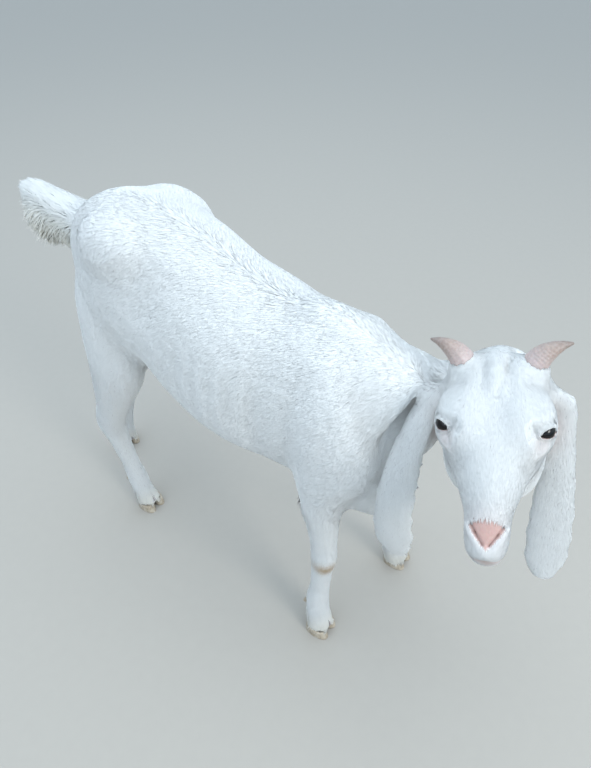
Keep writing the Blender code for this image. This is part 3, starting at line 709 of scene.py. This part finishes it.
def paint_skin(skin):
    """How bare, rosy or dark the skin is: nose leather, lips, lid rims, nostrils and clefts. The dark is
    painted shade: in the nostril slits, along the mouth's seam, where the lid rims turn in to the eyeball
    and between the claws.
    """
    local = skin.local()
    within = np.interp(-local[:, 1], *NOSE_OUTLINE) - np.abs(local[:, 0])
    before = ease(-local[:, 1], 0.139, 0.148)
    leather = ease(within, -0.001, 0.001) * before * ease(local[:, 2], -0.06, -0.052)
    chin = bell(local, (0.0, -0.172, -0.062), (0.012, 0.008, 0.007))
    mouth = capped(skin.lips * 1.2 + 0.7 * skin.groove + chin)
    beside = ease(within, -0.006, 0.0) * before
    rosy = capped(0.75 * skin.rims + 0.8 * mouth + 0.5 * beside)
    # Painted shade: near black in the nostril slits, and a little along the seam of the lips.
    dark = capped(ease(skin.nostrils, 0.55, 0.95) + 0.3 * ease(skin.lips, 0.6, 1.0))
    # Painted shade where the lid rims turn in towards the eyeball.
    dark = np.maximum(dark, 0.75 * skin.rims * (skin.opening > 0))
    skin.hairless = capped(np.maximum.reduce([
        leather, skin.rims, skin.opening, ease(skin.lips, 0.4, 0.9), ease(skin.nostrils, 0.3, 0.6)]))
    for side in SIDES:
        for limb in ("fore", "hind"):
            away = skin.points - np.array(between_claws(limb, side))
            # Painted shade in the gap between the two claws, where the skin is also left bare.
            cleft_shade = np.exp(-(away[:, 0] / 0.002) ** 4) * ease(0.034 - skin.points[:, 2], 0.0, 0.004)
            cleft_shade *= (np.abs(away[:, 1]) < 0.05) * ease(-away[:, 1], -0.004, 0.002)
            dark = np.maximum(dark, cleft_shade)
            skin.hairless = np.maximum(skin.hairless, cleft_shade)
    for name, values in (("bare", leather), ("rosy", rosy), ("dark", dark)):
        set_attribute(skin.mesh, name, values)


def between_claws(limb, side):
    return (node_middle(f"{limb}claw_{side}_inner") + node_middle(f"{limb}claw_{side}_outer")) / 2.0


def unwrap(piece):
    """Unwrap the skin by its own shape; every tuft finds its root's place on this map."""
    piece.data.uv_layers.new(name="OFBake")
    bpy.context.view_layer.objects.active = piece
    piece.select_set(True)
    bpy.ops.object.mode_set(mode="EDIT")
    bpy.ops.mesh.select_all(action="SELECT")
    bpy.ops.uv.smart_project(angle_limit=math.radians(66.0), island_margin=0.002)
    bpy.ops.object.mode_set(mode="OBJECT")
    piece.select_set(False)


# What one operator leaves for the next.
STATE = {}


class GOAT_OT_skin(bpy.types.Operator):
    """Join the flesh solids into one skin, sink it below the coat and shape its features"""

    bl_idname = "goat.skin"
    bl_label = "Skin"

    def execute(self, context):
        settings = context.scene.goat_skin
        skin = Skin(settings)
        shape_body(skin)
        sink_coat_depth(skin)
        shape_head(skin)
        shape_lids(skin)
        paint_skin(skin)
        skin.mesh.shade_smooth()
        unwrap(new_piece("skin", skin.mesh, hide_material(settings), FLESH_NODES))
        STATE["skin"] = skin
        return {"FINISHED"}


# --- Eyes, horns and hooves ---

def eyeball_mesh(side):
    """A round eye with the cornea's low dome, its pole along the eye's own axis."""
    axis, run, up = eye_axes(SIDES[side])
    bm = bmesh.new()
    bmesh.ops.create_uvsphere(bm, u_segments=48, v_segments=36, radius=EYE_RADIUS)
    mesh = as_mesh(bm, f"eyeball_{side}")
    own = places(mesh)
    slant = np.hypot(own[:, 0], own[:, 1]) / EYE_RADIUS
    front = own[:, 2] > 0.0
    dome = np.where(front, 0.0009 * (1.0 - ease(slant, 0.25, 0.78)), 0.0)
    own = own + unit(own) * dome[:, None]
    level = np.exp(-((own[:, 1] / (EYE_RADIUS * 0.16)) ** 4) - (own[:, 0] / (EYE_RADIUS * 0.4)) ** 4)
    set_attribute(mesh, "from_axis", np.where(front, slant, 1.0))
    set_attribute(mesh, "slot", np.where(front, level, 0.0))
    local = own[:, :1] * run + own[:, 1:2] * up + own[:, 2:] * axis
    move(mesh, np.array(node_middle(f"eye_{side}")) + from_head(local))
    bm = bmesh.new()
    bm.from_mesh(mesh)
    bmesh.ops.recalc_face_normals(bm, faces=bm.faces)
    bm.to_mesh(mesh)
    bm.free()
    mesh.shade_smooth()
    return mesh


class GOAT_OT_eyes(bpy.types.Operator):
    """Two wet eyeballs with level pupils"""

    bl_idname = "goat.eyes"
    bl_label = "Eyes"

    def execute(self, context):
        material = eye_material(context.scene.goat_eyes)
        for side in SIDES:
            new_piece(f"eyeball_{side}", eyeball_mesh(side), material, [f"eye_{side}"])
        return {"FINISHED"}


def smooth_copy(name, voxel, rounds):
    """A solid's surface with its edges softened."""
    mesh = remeshed(merged_solid({name: 0.0}), voxel)
    move(mesh, evened(places(mesh), neighbours(mesh), rounds))
    mesh.shade_smooth()
    return mesh


HORN_ROOT = (0.031, 0.002, -0.01)
HORN_WAY = (0.66, 0.38, 0.64)
RING_HEIGHT = 0.0004
HOOF_LINE_SPACING = 0.0034
SOLE = 0.0008


class GOAT_OT_horns(bpy.types.Operator):
    """Small ringed horns, pale at the root and dull at the tip"""

    bl_idname = "goat.horns"
    bl_label = "Horns"

    def execute(self, context):
        settings = context.scene.goat_horns
        material = horn_material(settings)
        for side, out in SIDES.items():
            mesh = smooth_copy(f"horn_{side}", 0.0009, 14)
            points = places(mesh)
            local = to_head(points)
            climb = (local - mirrored(out, HORN_ROOT)) @ unit(np.array(mirrored(out, HORN_WAY)))
            along = capped(climb / np.max(climb))
            phase = climb * 2.0 * math.pi / settings.ring_spacing + 0.9 * np.sin(local[:, 1] * 500.0)
            rings = np.abs(np.sin(phase / 2.0)) ** 0.6 * RING_HEIGHT * (1.0 - ease(along, 0.45, 0.85))
            move(mesh, points + directions(mesh) * (rings - 0.0003)[:, None])
            set_attribute(mesh, "along", along)
            new_piece(f"horn_sheath_{side}", mesh, material, [f"horn_{side}"])
        return {"FINISHED"}


class GOAT_OT_hooves(bpy.types.Operator):
    """Eight claws and eight dewclaws with softened edges and growth lines"""

    bl_idname = "goat.hooves"
    bl_label = "Hooves"

    def execute(self, context):
        material = hoof_material(context.scene.goat_horns)
        for name in CLAW_NODES:
            dew = "dew" in name
            mesh = smooth_copy(name, 0.0008 if dew else 0.0011, 6)
            points = places(mesh)
            normals = directions(mesh)
            dark = np.zeros(len(points))
            if not dew:
                wall = 1.0 - np.abs(normals[:, 2])
                lines = np.sin(points[:, 2] * 2.0 * math.pi / HOOF_LINE_SPACING)
                points = points + normals * (0.00022 * lines * wall)[:, None]
                points[:, 2] = np.where(points[:, 2] < SOLE, 0.0, points[:, 2])
                # Painted shade on the claw walls nearest the gap between the two claws.
                gap = np.abs(points[:, 0] - between_claws(name[:4], name.split("_")[1]).x)
                dark = np.exp(-(gap / 0.003) ** 4)
            move(mesh, points)
            set_attribute(mesh, "dark", dark)
            new_piece(f"{name}_wall", mesh, material, [name])
        return {"FINISHED"}


# --- The coat ---

def lie_of_hair(skin):
    """The way the hair lies at each vertex of the skin, as a unit vector along the surface."""
    normals = directions(skin.mesh)
    points = skin.points
    flow = np.zeros_like(points)

    def lay(way, share):
        flow[:] += np.asarray(way) * share[:, None]

    across = points[:, 0] - trunk_middle()
    side = capped(np.abs(across) / HALF_TRUNK)
    trunk = vectors(np.sign(across) * 0.75 * (1.0 - side), 0.85, -0.85 * side)
    chest = ease(-points[:, 1], 0.16, 0.21) * ease(0.46 - points[:, 2], 0.0, 0.08)
    lay(trunk, skin.share("trunk"))
    lay([0.0, 0.1, -1.2], chest * skin.share("trunk"))
    lay([-0.1, 0.7, -0.75], skin.share("neck"))
    local = skin.local()
    outward = local[:, 0] / 0.045
    down = (ease(-local[:, 2], 0.04, 0.075) * ease(local[:, 1], -0.13, -0.08))[:, None]
    head = vectors(0.35 * outward, -1.0, -0.1) * (1.0 - down) + np.array([0.0, 0.55, -0.85]) * down
    brow = ease(local[:, 1], -0.075, -0.01)[:, None]
    lay(from_head(head + vectors(0.5 * outward, 0.0, 0.0) * brow), skin.share("head"))
    for name in EAR_NODES:
        lay([-0.02, -0.08, -1.0], skin.share(name))
    for name in LEG_NODES:
        back = 0.35 if "hind" in name and "upper" in name else 0.12
        lay([0.0, back, -1.0], skin.share(name))
    low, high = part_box("tail")
    under = ease(0.5 * (low.z + high.z) + 0.02 - points[:, 2], 0.0, 0.04)[:, None]
    tail = np.array([0.0, 1.0, 0.25]) * (1.0 - under) + np.array([0.0, 0.45, -1.0]) * under
    lay(tail, skin.share("tail"))
    flow = lay_along(flow, normals)
    for _ in range(4):
        flow = lay_along(blurred(flow, skin.links, 3), normals)
    for limb in ("fore", "hind"):
        for side in SIDES:
            toe = between_claws(limb, side)
            foot = np.exp(-((points - np.array(toe)) ** 2).sum(1) / 0.035 ** 2)
            flow[:, 0] += 0.35 * foot * np.sign(points[:, 0] - toe.x)
    return lay_along(flow, normals)


def by_the_tail(skin):
    """The way the tail points, and how far along it and below it each vertex of the skin lies."""
    points = places(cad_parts["tail"].data)
    start, end = [points[np.abs(points[:, 1] - edge) < 0.012].mean(0)
                  for edge in (points[:, 1].min(), points[:, 1].max())]
    way = unit(end - start)
    away = skin.points - start
    along = away @ way
    return way, along, -(away - along[:, None] * way)[:, 2]


def aim_of_hair(skin, flow):
    """Where loose hair points: on along its lie, but out past the tail's end and down below it."""
    way, _, below = by_the_tail(skin)
    below = ease(below, 0.0, 0.02)[:, None]
    tail = unit(way * (1.0 - 0.72 * below) + np.array([0.0, 0.3, -0.85]) * below)
    share = skin.share("tail")[:, None]
    return flow * (1.0 - share) + tail * share


def shagginess(skin):
    """Where the coat is longer and stands out: ridge of the back, tail, elbows, hocks and heels."""
    points = skin.points
    top = ease(points[:, 2], 0.47, 0.52) * skin.share("trunk")
    ridge = np.exp(-((points[:, 0] - trunk_middle()) / 0.011) ** 2)
    shag = 0.22 * top * ridge * ease(0.2 - points[:, 1], 0.0, 0.06)
    _, along, below = by_the_tail(skin)
    tail = 0.12 + 0.3 * ease(along, 0.07, 0.1) + 0.36 * ease(below, 0.004, 0.024)
    shag += tail * skin.share("tail")
    shag += 0.15 * bell(skin.local(), (0.0, 0.004, 0.0), (0.026, 0.012, 0.016))
    for side in SIDES:
        for limb in ("fore", "hind"):
            low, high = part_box(f"{limb}leg_{side}_lower")
            middle = (low.x + high.x) / 2.0
            heel = (middle, between_claws(limb, side).y + 0.022, 0.045)
            shag += 0.55 * bell(points, heel, (0.03, 0.014, 0.022))
            shag += 0.35 * bell(points, (middle, high.y + 0.004, high.z), (0.03, 0.016, 0.026))
        low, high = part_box(f"foreleg_{side}_upper")
        elbow = ((low.x + high.x) / 2.0, high.y, high.z - 0.02)
        shag += 0.6 * bell(points, elbow, (0.03, 0.022, 0.03))
    chest = bell(points, (0.0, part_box("trunk")[0].y, 0.36), (0.05, 0.03, 0.06))
    return capped(blurred(shag + 0.4 * chest, skin.links, 2))


def lock_strength(skin):
    """Where the hairs draw together in locks: ridge of the back, forehead and tail."""
    points = skin.points
    ridge = np.exp(-((points[:, 0] - trunk_middle()) / 0.03) ** 2) * ease(points[:, 2], 0.47, 0.52)
    brow = bell(skin.local(), (0.0, -0.015, 0.0), (0.03, 0.04, 0.02))
    return capped(ridge * skin.share("trunk") + brow * 0.8 + skin.share("tail"))


def coat_lengths(skin, settings):
    """Hair length at each vertex of the skin: shorter at the muzzle, the eyes and turning edges."""
    hair = skin.share("trunk") + skin.share("neck") + skin.share("tail") * 1.25
    hair += skin.share("head") * 0.58 + skin.share(*EAR_NODES) * 0.52
    hair += skin.share(*UPPER_LEGS) * 0.85 + skin.share(*LOWER_LEGS) * 0.68
    local = skin.local()
    hair *= 1.0 - 0.45 * skin.share("head") * ease(-local[:, 1], 0.105, 0.15)
    turning = 1.0 - np.linalg.norm(blurred(directions(skin.mesh), skin.links, 4), axis=1)
    shorter = (0.5 + 0.25 * skin.share(*EAR_NODES)) * ease(turning, 0.05, 0.25)
    hair *= 1.0 - shorter * (1.0 - skin.share("tail"))
    for out in SIDES.values():
        hair *= 1.0 - 0.5 * bell(local, (out * 0.0455, -0.0685, -0.013), (0.013, 0.014, 0.013))
    return hair * settings.length


def tuft_widths(skin, settings):
    """Tuft width at each vertex of the skin: smallest on face, ears and legs."""
    width = np.ones(len(skin.points))
    width -= 0.38 * skin.share("head") + 0.26 * skin.share(*EAR_NODES)
    width -= 0.14 * skin.share(*LEG_NODES)
    width *= 1.0 - 0.3 * skin.share("head") * ease(-skin.local()[:, 1], 0.08, 0.14)
    return width * settings.width


# How many tufts each piece of the coat has.
COAT_PIECES = {
    "coat_face": 42000,
    "coat_cheeks": 30000,
    "coat_ears": 36000,
    "coat_neck": 25500,
    "coat_trunk_front": 46000,
    "coat_trunk_middle": 49000,
    "coat_trunk_rear": 49000,
    "coat_forelegs": 38000,
    "coat_hindlegs": 46000,
    "coat_tail": 11000,
}
TRUNK_PIECES = np.array([name for name in COAT_PIECES if "trunk" in name])
FIRST_SEED = 40
TUFTS_PER_LOCK = 14
LOCK_REACH = 0.012
TO_BELLY, TO_TIP = 0.42, 0.58
ROOT_DEPTH = 0.0003
LOWEST = 0.0012
LEAST_BELLY = 0.22
MAP_PATCH = 0.0015
DOWN = [0.0, 0.0, -1.0]


def home_pieces(skin, corners, middles):
    """The name of the coat piece that each triangle of the skin belongs to."""
    low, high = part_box("trunk")
    third = np.clip(((middles[:, 1] - low.y) / (high.y - low.y) * 3.0).astype(int), 0, 2)
    local = to_head(middles)
    front = (local[:, 2] > -0.052) & (local[:, 1] < 0.004)
    homes = {"trunk": TRUNK_PIECES[third], "head": np.where(front, "coat_face", "coat_cheeks")}
    for node in FLESH_NODES:
        group = "ears" if node in EAR_NODES else f"{node[:4]}legs" if node in LEG_NODES else node
        homes.setdefault(node, np.full(len(middles), f"coat_{group}"))
    part = np.argmax(skin.shares, axis=1)[corners[:, 0]]
    return np.stack([homes[node] for node in FLESH_NODES], 1)[np.arange(len(part)), part]


def lock_leaders(roots, rng):
    """For each tuft, the tuft that leads its lock."""
    leaders = rng.choice(len(roots), max(len(roots) // TUFTS_PER_LOCK, 1), replace=False)
    return nearest_label(roots[leaders], leaders, roots)


def markings(points):
    """Cream under the tail and at the feet, stains at knee and mouth, rose at ears, eyes and nose."""
    low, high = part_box("tail")
    under = ease(low.z + 0.075 - points[:, 2], 0.0, 0.05) * ease(points[:, 1], low.y, low.y + 0.03)
    under *= ease(points[:, 2], low.z - 0.06, low.z)
    cream = capped(under * 0.7 + 0.75 * ease(0.06 - points[:, 2], 0.0, 0.045))
    low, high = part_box("foreleg_right_lower")
    knee = (low.x + 0.012, low.y + 0.012, high.z - 0.006)
    stain = bell(points, knee, (0.019, 0.018, 0.012))
    local = to_head(points)
    stain = np.maximum(stain, 0.55 * bell(local, (0.016, -0.162, -0.06), (0.006, 0.007, 0.006)))
    rosy = np.zeros(len(points))
    for out in SIDES.values():
        rosy += 0.5 * bell(local, (out * 0.048, -0.024, -0.075), (0.016, 0.016, 0.03))
        rosy += 0.4 * bell(local, (out * 0.041, -0.08, -0.016), (0.008, 0.012, 0.01))
    rosy += 0.35 * bell(local, (0.0, -0.15, -0.034), (0.018, 0.02, 0.014))
    rosy += 0.9 * bell(local, (0.0, -0.171, -0.064), (0.02, 0.016, 0.012))
    return {"cream": cream, "stain": capped(stain), "rosy": capped(rosy)}


def leaning(up, side, tilt):
    """The normals at a lock's root, its two edges and its tip, the edges' tilted outward."""
    return np.stack([up, unit(up - side * tilt), unit(up + side * tilt), up], 1)


# A lock's four faces, between its root 0, edges 1 and 2, and tip 3.
LOCK_FACES = np.array([[1, 2, 0], [2, 1, 3], [0, 3, 1], [3, 0, 2]])
LOCK_ON_MAP = np.array([[0.0, -1.0], [-1.0, 0.0], [1.0, 0.0], [0.0, 1.0]])


def lock_mesh(name, spine, normals, lie, broad, spots, tilt, loose, rng):
    """Thin closed locks, from a root to a broad belly and on to a point, as one mesh."""
    count = len(broad)
    root, centre, tip = spine
    run = unit(tip - root)
    side = np.cross(normals, lie)
    side = side + (np.cross(normals + rng.normal(0.0, 0.3, (count, 3)), run) - side) * loose
    side = unit(side)
    up = unit(normals + (np.cross(run, side) - normals) * loose)
    tilt = tilt + (0.8 - tilt) * loose
    thickness = ((centre - root - TO_BELLY * (tip - root)) * up).sum(1)
    centre = centre + up * np.maximum(LEAST_BELLY * broad - thickness, 0.0)[:, None]
    half = side * (0.5 * broad)[:, None]
    vertices = np.stack([root, centre - half, centre + half, tip], 1)
    loops = (LOCK_FACES[None] + (np.arange(count) * 4)[:, None, None]).ravel()
    mesh = bpy.data.meshes.new(name)
    mesh.vertices.add(count * 4)
    mesh.vertices.foreach_set("co", vertices.astype(np.float32).ravel())
    mesh.loops.add(len(loops))
    mesh.loops.foreach_set("vertex_index", loops.astype(np.int32))
    mesh.polygons.add(count * 4)
    mesh.polygons.foreach_set("loop_start", np.arange(0, count * 12, 3, dtype=np.int32))
    mesh.update(calc_edges=True)
    spots = spots[:, None, :] + LOCK_ON_MAP[None] * MAP_PATCH
    layer = mesh.uv_layers.new(name="OFBake")
    layer.data.foreach_set("uv", spots.reshape(-1, 2)[loops].astype(np.float32).ravel())
    set_attribute(mesh, "strand", np.repeat(rng.random(count), 4))
    for key, values in markings(centre).items():
        set_attribute(mesh, key, np.repeat(values, 4))
    mesh.shade_smooth()
    if name == "coat_tail":
        over, under = leaning(up, side, 1.0), leaning(-up, side, 1.0)
        faces = [near[:, face] for near, face in zip((over, over, under, under), LOCK_FACES)]
        mesh.normals_split_custom_set(np.stack(faces, 1).reshape(-1, 3).astype(np.float32))
    else:
        shading = leaning(up, side, tilt).reshape(-1, 3)
        mesh.normals_split_custom_set_from_vertices(shading.astype(np.float32))
    return mesh


class CoatMaker:
    """Sets tufts on the skin: each one a thin closed lock with its tip lying on the coat."""

    def __init__(self, skin, settings):
        mesh = skin.mesh
        mesh.calc_loop_triangles()
        self.fullness = settings.fullness
        self.corners = read(mesh.loop_triangles, "vertices", 3, np.int32)
        loops = read(mesh.loop_triangles, "loops", 3, np.int32)
        self.map = read(mesh.uv_layers["OFBake"].data, "uv", 2).astype(float)[loops]
        self.points = skin.points
        self.normals = directions(mesh)
        self.flow = lie_of_hair(skin)
        self.aim = aim_of_hair(skin, self.flow)
        self.hair = coat_lengths(skin, settings)
        self.width = tuft_widths(skin, settings)
        self.shag = shagginess(skin)
        self.depth = skin.depth
        self.locks = lock_strength(skin)
        edge = self.points[self.corners]
        middles = edge.mean(1)
        soles = (middles[:, 2] < 0.02) & (self.normals[self.corners].mean(1)[:, 2] < -0.55)
        spans = np.cross(edge[:, 1] - edge[:, 0], edge[:, 2] - edge[:, 0])
        self.areas = 0.5 * np.linalg.norm(spans, axis=1)
        self.areas *= 1.0 - skin.hairless[self.corners].max(1)
        self.areas *= 1.0 - soles
        self.homes = home_pieces(skin, self.corners, middles)
        self.skin_corners = self.corners
        self.add_claws()
        self.bvh = BVHTree.FromPolygons(self.points.tolist(), self.corners.tolist())

    def add_claws(self):
        """Let hair from the hem of the coat fall over the claws too."""
        for name in CLAW_NODES:
            if "dew" not in name:
                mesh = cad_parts[name].data
                points = places(mesh)
                outward = unit((points - points.mean(0)) * np.array([1.0, 1.0, 0.15]))
                corners = read(mesh.polygons, "vertices", 3, np.int32) + len(self.points)
                down = np.tile(DOWN, (len(points), 1))
                grown = {"points": points, "normals": outward, "flow": down, "corners": corners}
                for key, rows in grown.items():
                    setattr(self, key, np.concatenate([getattr(self, key), rows]))

    def step_on(self, roots, lie, reach):
        """Go along the surface from each root: where that lands, its normal and its corners."""
        landed = np.empty_like(roots)
        faces = np.empty(len(roots), int)
        for index, goal in enumerate(roots + lie * reach[:, None]):
            landed[index], _, faces[index], _ = self.bvh.find_nearest(goal)
        corners = self.corners[faces]
        return landed, unit(self.normals[corners].mean(1)), corners

    def build(self, name, seed):
        """All the tufts of one coat piece."""
        rng = np.random.default_rng(seed)
        corners = self.skin_corners
        size = self.hair[corners].mean(1) * self.width[corners].mean(1)
        weight = self.areas * (self.homes == name) / np.maximum(size, 1e-9)
        count = int(COAT_PIECES[name] * self.fullness)
        steps = (np.arange(count) + rng.random(count)) / count
        faces = np.minimum(np.searchsorted(np.cumsum(weight) / weight.sum(), steps), len(weight) - 1)
        a = np.sqrt(rng.random(count))
        b = rng.random(count)
        shares = np.stack([1.0 - a, a * (1.0 - b), a * b], 1)
        corners = corners[faces]

        def mix(table):
            picked = table[corners]
            return (picked * (shares[:, :, None] if picked.ndim == 3 else shares)).sum(1)

        roots = mix(self.points)
        normals = unit(mix(self.normals))
        lie = lay_along(mix(self.flow), normals)
        shag = mix(self.shag)
        depth = mix(self.depth)
        locks = mix(self.locks)
        hair = mix(self.hair) * rng.uniform(0.75, 1.2, count) * (1.0 + 0.9 * shag)
        broad = mix(self.width) * rng.uniform(0.75, 1.25, count)
        lie = unit(lie + np.cross(normals, lie) * rng.normal(0.0, 0.1, count)[:, None])
        middle, middle_normals, onto = self.step_on(roots, lie, hair * TO_BELLY)
        onward = lay_along(self.flow[onto].mean(1) + lie * 0.8, middle_normals)
        swerve = np.cross(middle_normals, onward) * rng.normal(0.0, 0.08, count)[:, None]
        onward = lay_along(onward + swerve, middle_normals)
        ends, end_normals, _ = self.step_on(middle, onward, hair * TO_TIP)
        layer = 1.0 - 0.6 * rng.random(count)
        centre = middle + middle_normals * (depth * layer * (0.72 + 0.4 * shag))[:, None]
        rise = depth * layer * rng.uniform(0.86, 1.0, count) + shag * rng.random(count) ** 2 * hair * 0.42
        tip = ends + end_normals * rise[:, None]
        aim = unit(mix(self.aim) + normals * 0.3 + rng.normal(0.0, 0.12, (count, 3)))
        loose = ease(shag, 0.25, 0.75)[:, None]
        tip = tip + (roots + aim * hair[:, None] - tip) * loose
        centre = centre + (roots + aim * (TO_BELLY * hair)[:, None] - centre) * loose
        to_leader = tip[lock_leaders(roots, rng)] - tip
        pull = (0.04 + 0.18 * locks + 0.3 * loose[:, 0])[:, None]
        tip = tip + to_leader * pull * (np.linalg.norm(to_leader, axis=1) < LOCK_REACH)[:, None]
        for line in (tip, centre):
            line[:, 2] = np.maximum(line[:, 2], LOWEST)
        spots = (self.map[faces] * shares[:, :, None]).sum(1)
        spine = (roots - normals * ROOT_DEPTH, centre, tip)
        tilt = (0.14 + 0.3 * locks)[:, None]
        return lock_mesh(name, spine, middle_normals, onward, broad, spots, tilt, loose, rng)


class GOAT_OT_coat(bpy.types.Operator):
    """Set the coat of tufts on the skin, piece by piece"""

    bl_idname = "goat.coat"
    bl_label = "Coat"

    def execute(self, context):
        settings = context.scene.goat_coat
        maker = CoatMaker(STATE["skin"], settings)
        material = coat_material(settings)
        for seed, name in enumerate(COAT_PIECES):
            new_piece(name, maker.build(name, FIRST_SEED + seed), material)
        return {"FINISHED"}


# --- The stage ---

FLOOR_SIZE = 30.0
GOAT_MIDDLE = Vector((0.0, 0.02, 0.3))
# Place, size, power and tint.
LIGHTS = {
    "key light": ((-0.5, -2.2, 1.6), 1.0, 29.0, (1.0, 1.0, 0.96)),
    "fill light": ((-2.4, 0.4, 1.6), 2.4, 9.0, (0.8, 0.91, 1.0)),
    "top light": ((0.2, 0.5, 3.0), 2.6, 34.0, (0.92, 0.98, 1.0)),
}
AIR = {"Color": (0.69, 0.85, 1.0, 1.0), "Strength": 1.24}
CAMERA_HEADING = math.radians(34.86)
CAMERA_PITCH = math.radians(41.69)
CAMERA_ROLL = math.radians(-0.53)


def put(context, name, data):
    """A new object in the scene."""
    item = bpy.data.objects.new(name, data)
    context.scene.collection.objects.link(item)
    return item


def area_light(context, name, place, size, power, tint):
    light = bpy.data.lights.new(name, "AREA")
    light.shape = "DISK"
    light.size = size
    light.energy = power
    light.color = tint
    lamp = put(context, name, light)
    lamp.location = place
    lamp.rotation_euler = (GOAT_MIDDLE - Vector(place)).to_track_quat("-Z", "Y").to_euler()


class GOAT_OT_stage(bpy.types.Operator):
    """A plain pale floor, soft studio lights and the camera"""

    bl_idname = "goat.stage"
    bl_label = "Stage"

    def execute(self, context):
        settings = context.scene.goat_stage
        bm = bmesh.new()
        bmesh.ops.create_grid(bm, x_segments=1, y_segments=1, size=FLOOR_SIZE)
        mesh = as_mesh(bm, "studio_floor")
        # Matt floor paint, a little uneven in tone.
        material, tree, place = new_material("matt painted floor", Roughness=0.85, IOR=1.45)
        darker = tuple(0.96 * part for part in settings.floor)
        tone = ramp(tree, noise(tree, place, 60.0, 6.0), [(0.0, darker), (1.0, tuple(settings.floor))])
        mesh.materials.append(coloured(material, tone))
        floor = put(context, "studio_floor", mesh)
        for name, light in LIGHTS.items():
            area_light(context, name, *light)
        world = bpy.data.worlds.new("studio air")
        world.use_nodes = True
        for key, value in AIR.items():
            world.node_tree.nodes["Background"].inputs[key].default_value = value
        context.scene.world = world
        lens = bpy.data.cameras.new("studio camera")
        lens.sensor_width = 36.0
        lens.lens = settings.lens
        lens.clip_start = 0.01
        camera = put(context, "studio camera", lens)
        turn = Matrix.Rotation(CAMERA_HEADING - math.pi / 2.0, 4, "Z")
        turn = turn @ Matrix.Rotation(math.pi / 2.0 - CAMERA_PITCH, 4, "X")
        turn = turn @ Matrix.Rotation(-CAMERA_ROLL, 4, "Z")
        camera.matrix_world = Matrix.Translation(Vector(POLL) + CAMERA_FROM_POLL) @ turn
        context.scene.camera = camera
        context.scene.view_settings.view_transform = "Standard"
        return {"FINISHED"}


class GOAT_PT_panel(bpy.types.Panel):
    """Lists the goat's pieces in the order they are made"""

    bl_idname = "GOAT_PT_panel"
    bl_label = "White Goat"
    bl_space_type = "VIEW_3D"
    bl_region_type = "UI"
    bl_category = "Goat"

    def draw(self, context):
        for operator in OPERATORS:
            self.layout.operator(operator.bl_idname, text=operator.bl_label)


SETTINGS = {
    "goat_skin": GoatSkinSettings,
    "goat_coat": GoatCoatSettings,
    "goat_horns": GoatHornSettings,
    "goat_eyes": GoatEyeSettings,
    "goat_stage": GoatStageSettings,
}
OPERATORS = (GOAT_OT_stage, GOAT_OT_skin, GOAT_OT_eyes, GOAT_OT_horns, GOAT_OT_hooves, GOAT_OT_coat)
CLASSES = (*SETTINGS.values(), *OPERATORS, GOAT_PT_panel)


def register():
    for item in CLASSES:
        bpy.utils.register_class(item)
    for name, group in SETTINGS.items():
        setattr(bpy.types.Scene, name, bpy.props.PointerProperty(type=group))


def unregister():
    for name in SETTINGS:
        delattr(bpy.types.Scene, name)
    for item in reversed(CLASSES):
        bpy.utils.unregister_class(item)


def main():
    register()
    bpy.ops.goat.stage()
    bpy.ops.goat.skin()
    bpy.ops.goat.eyes()
    bpy.ops.goat.horns()
    bpy.ops.goat.hooves()
    bpy.ops.goat.coat()


if __name__ == "__main__":
    main()
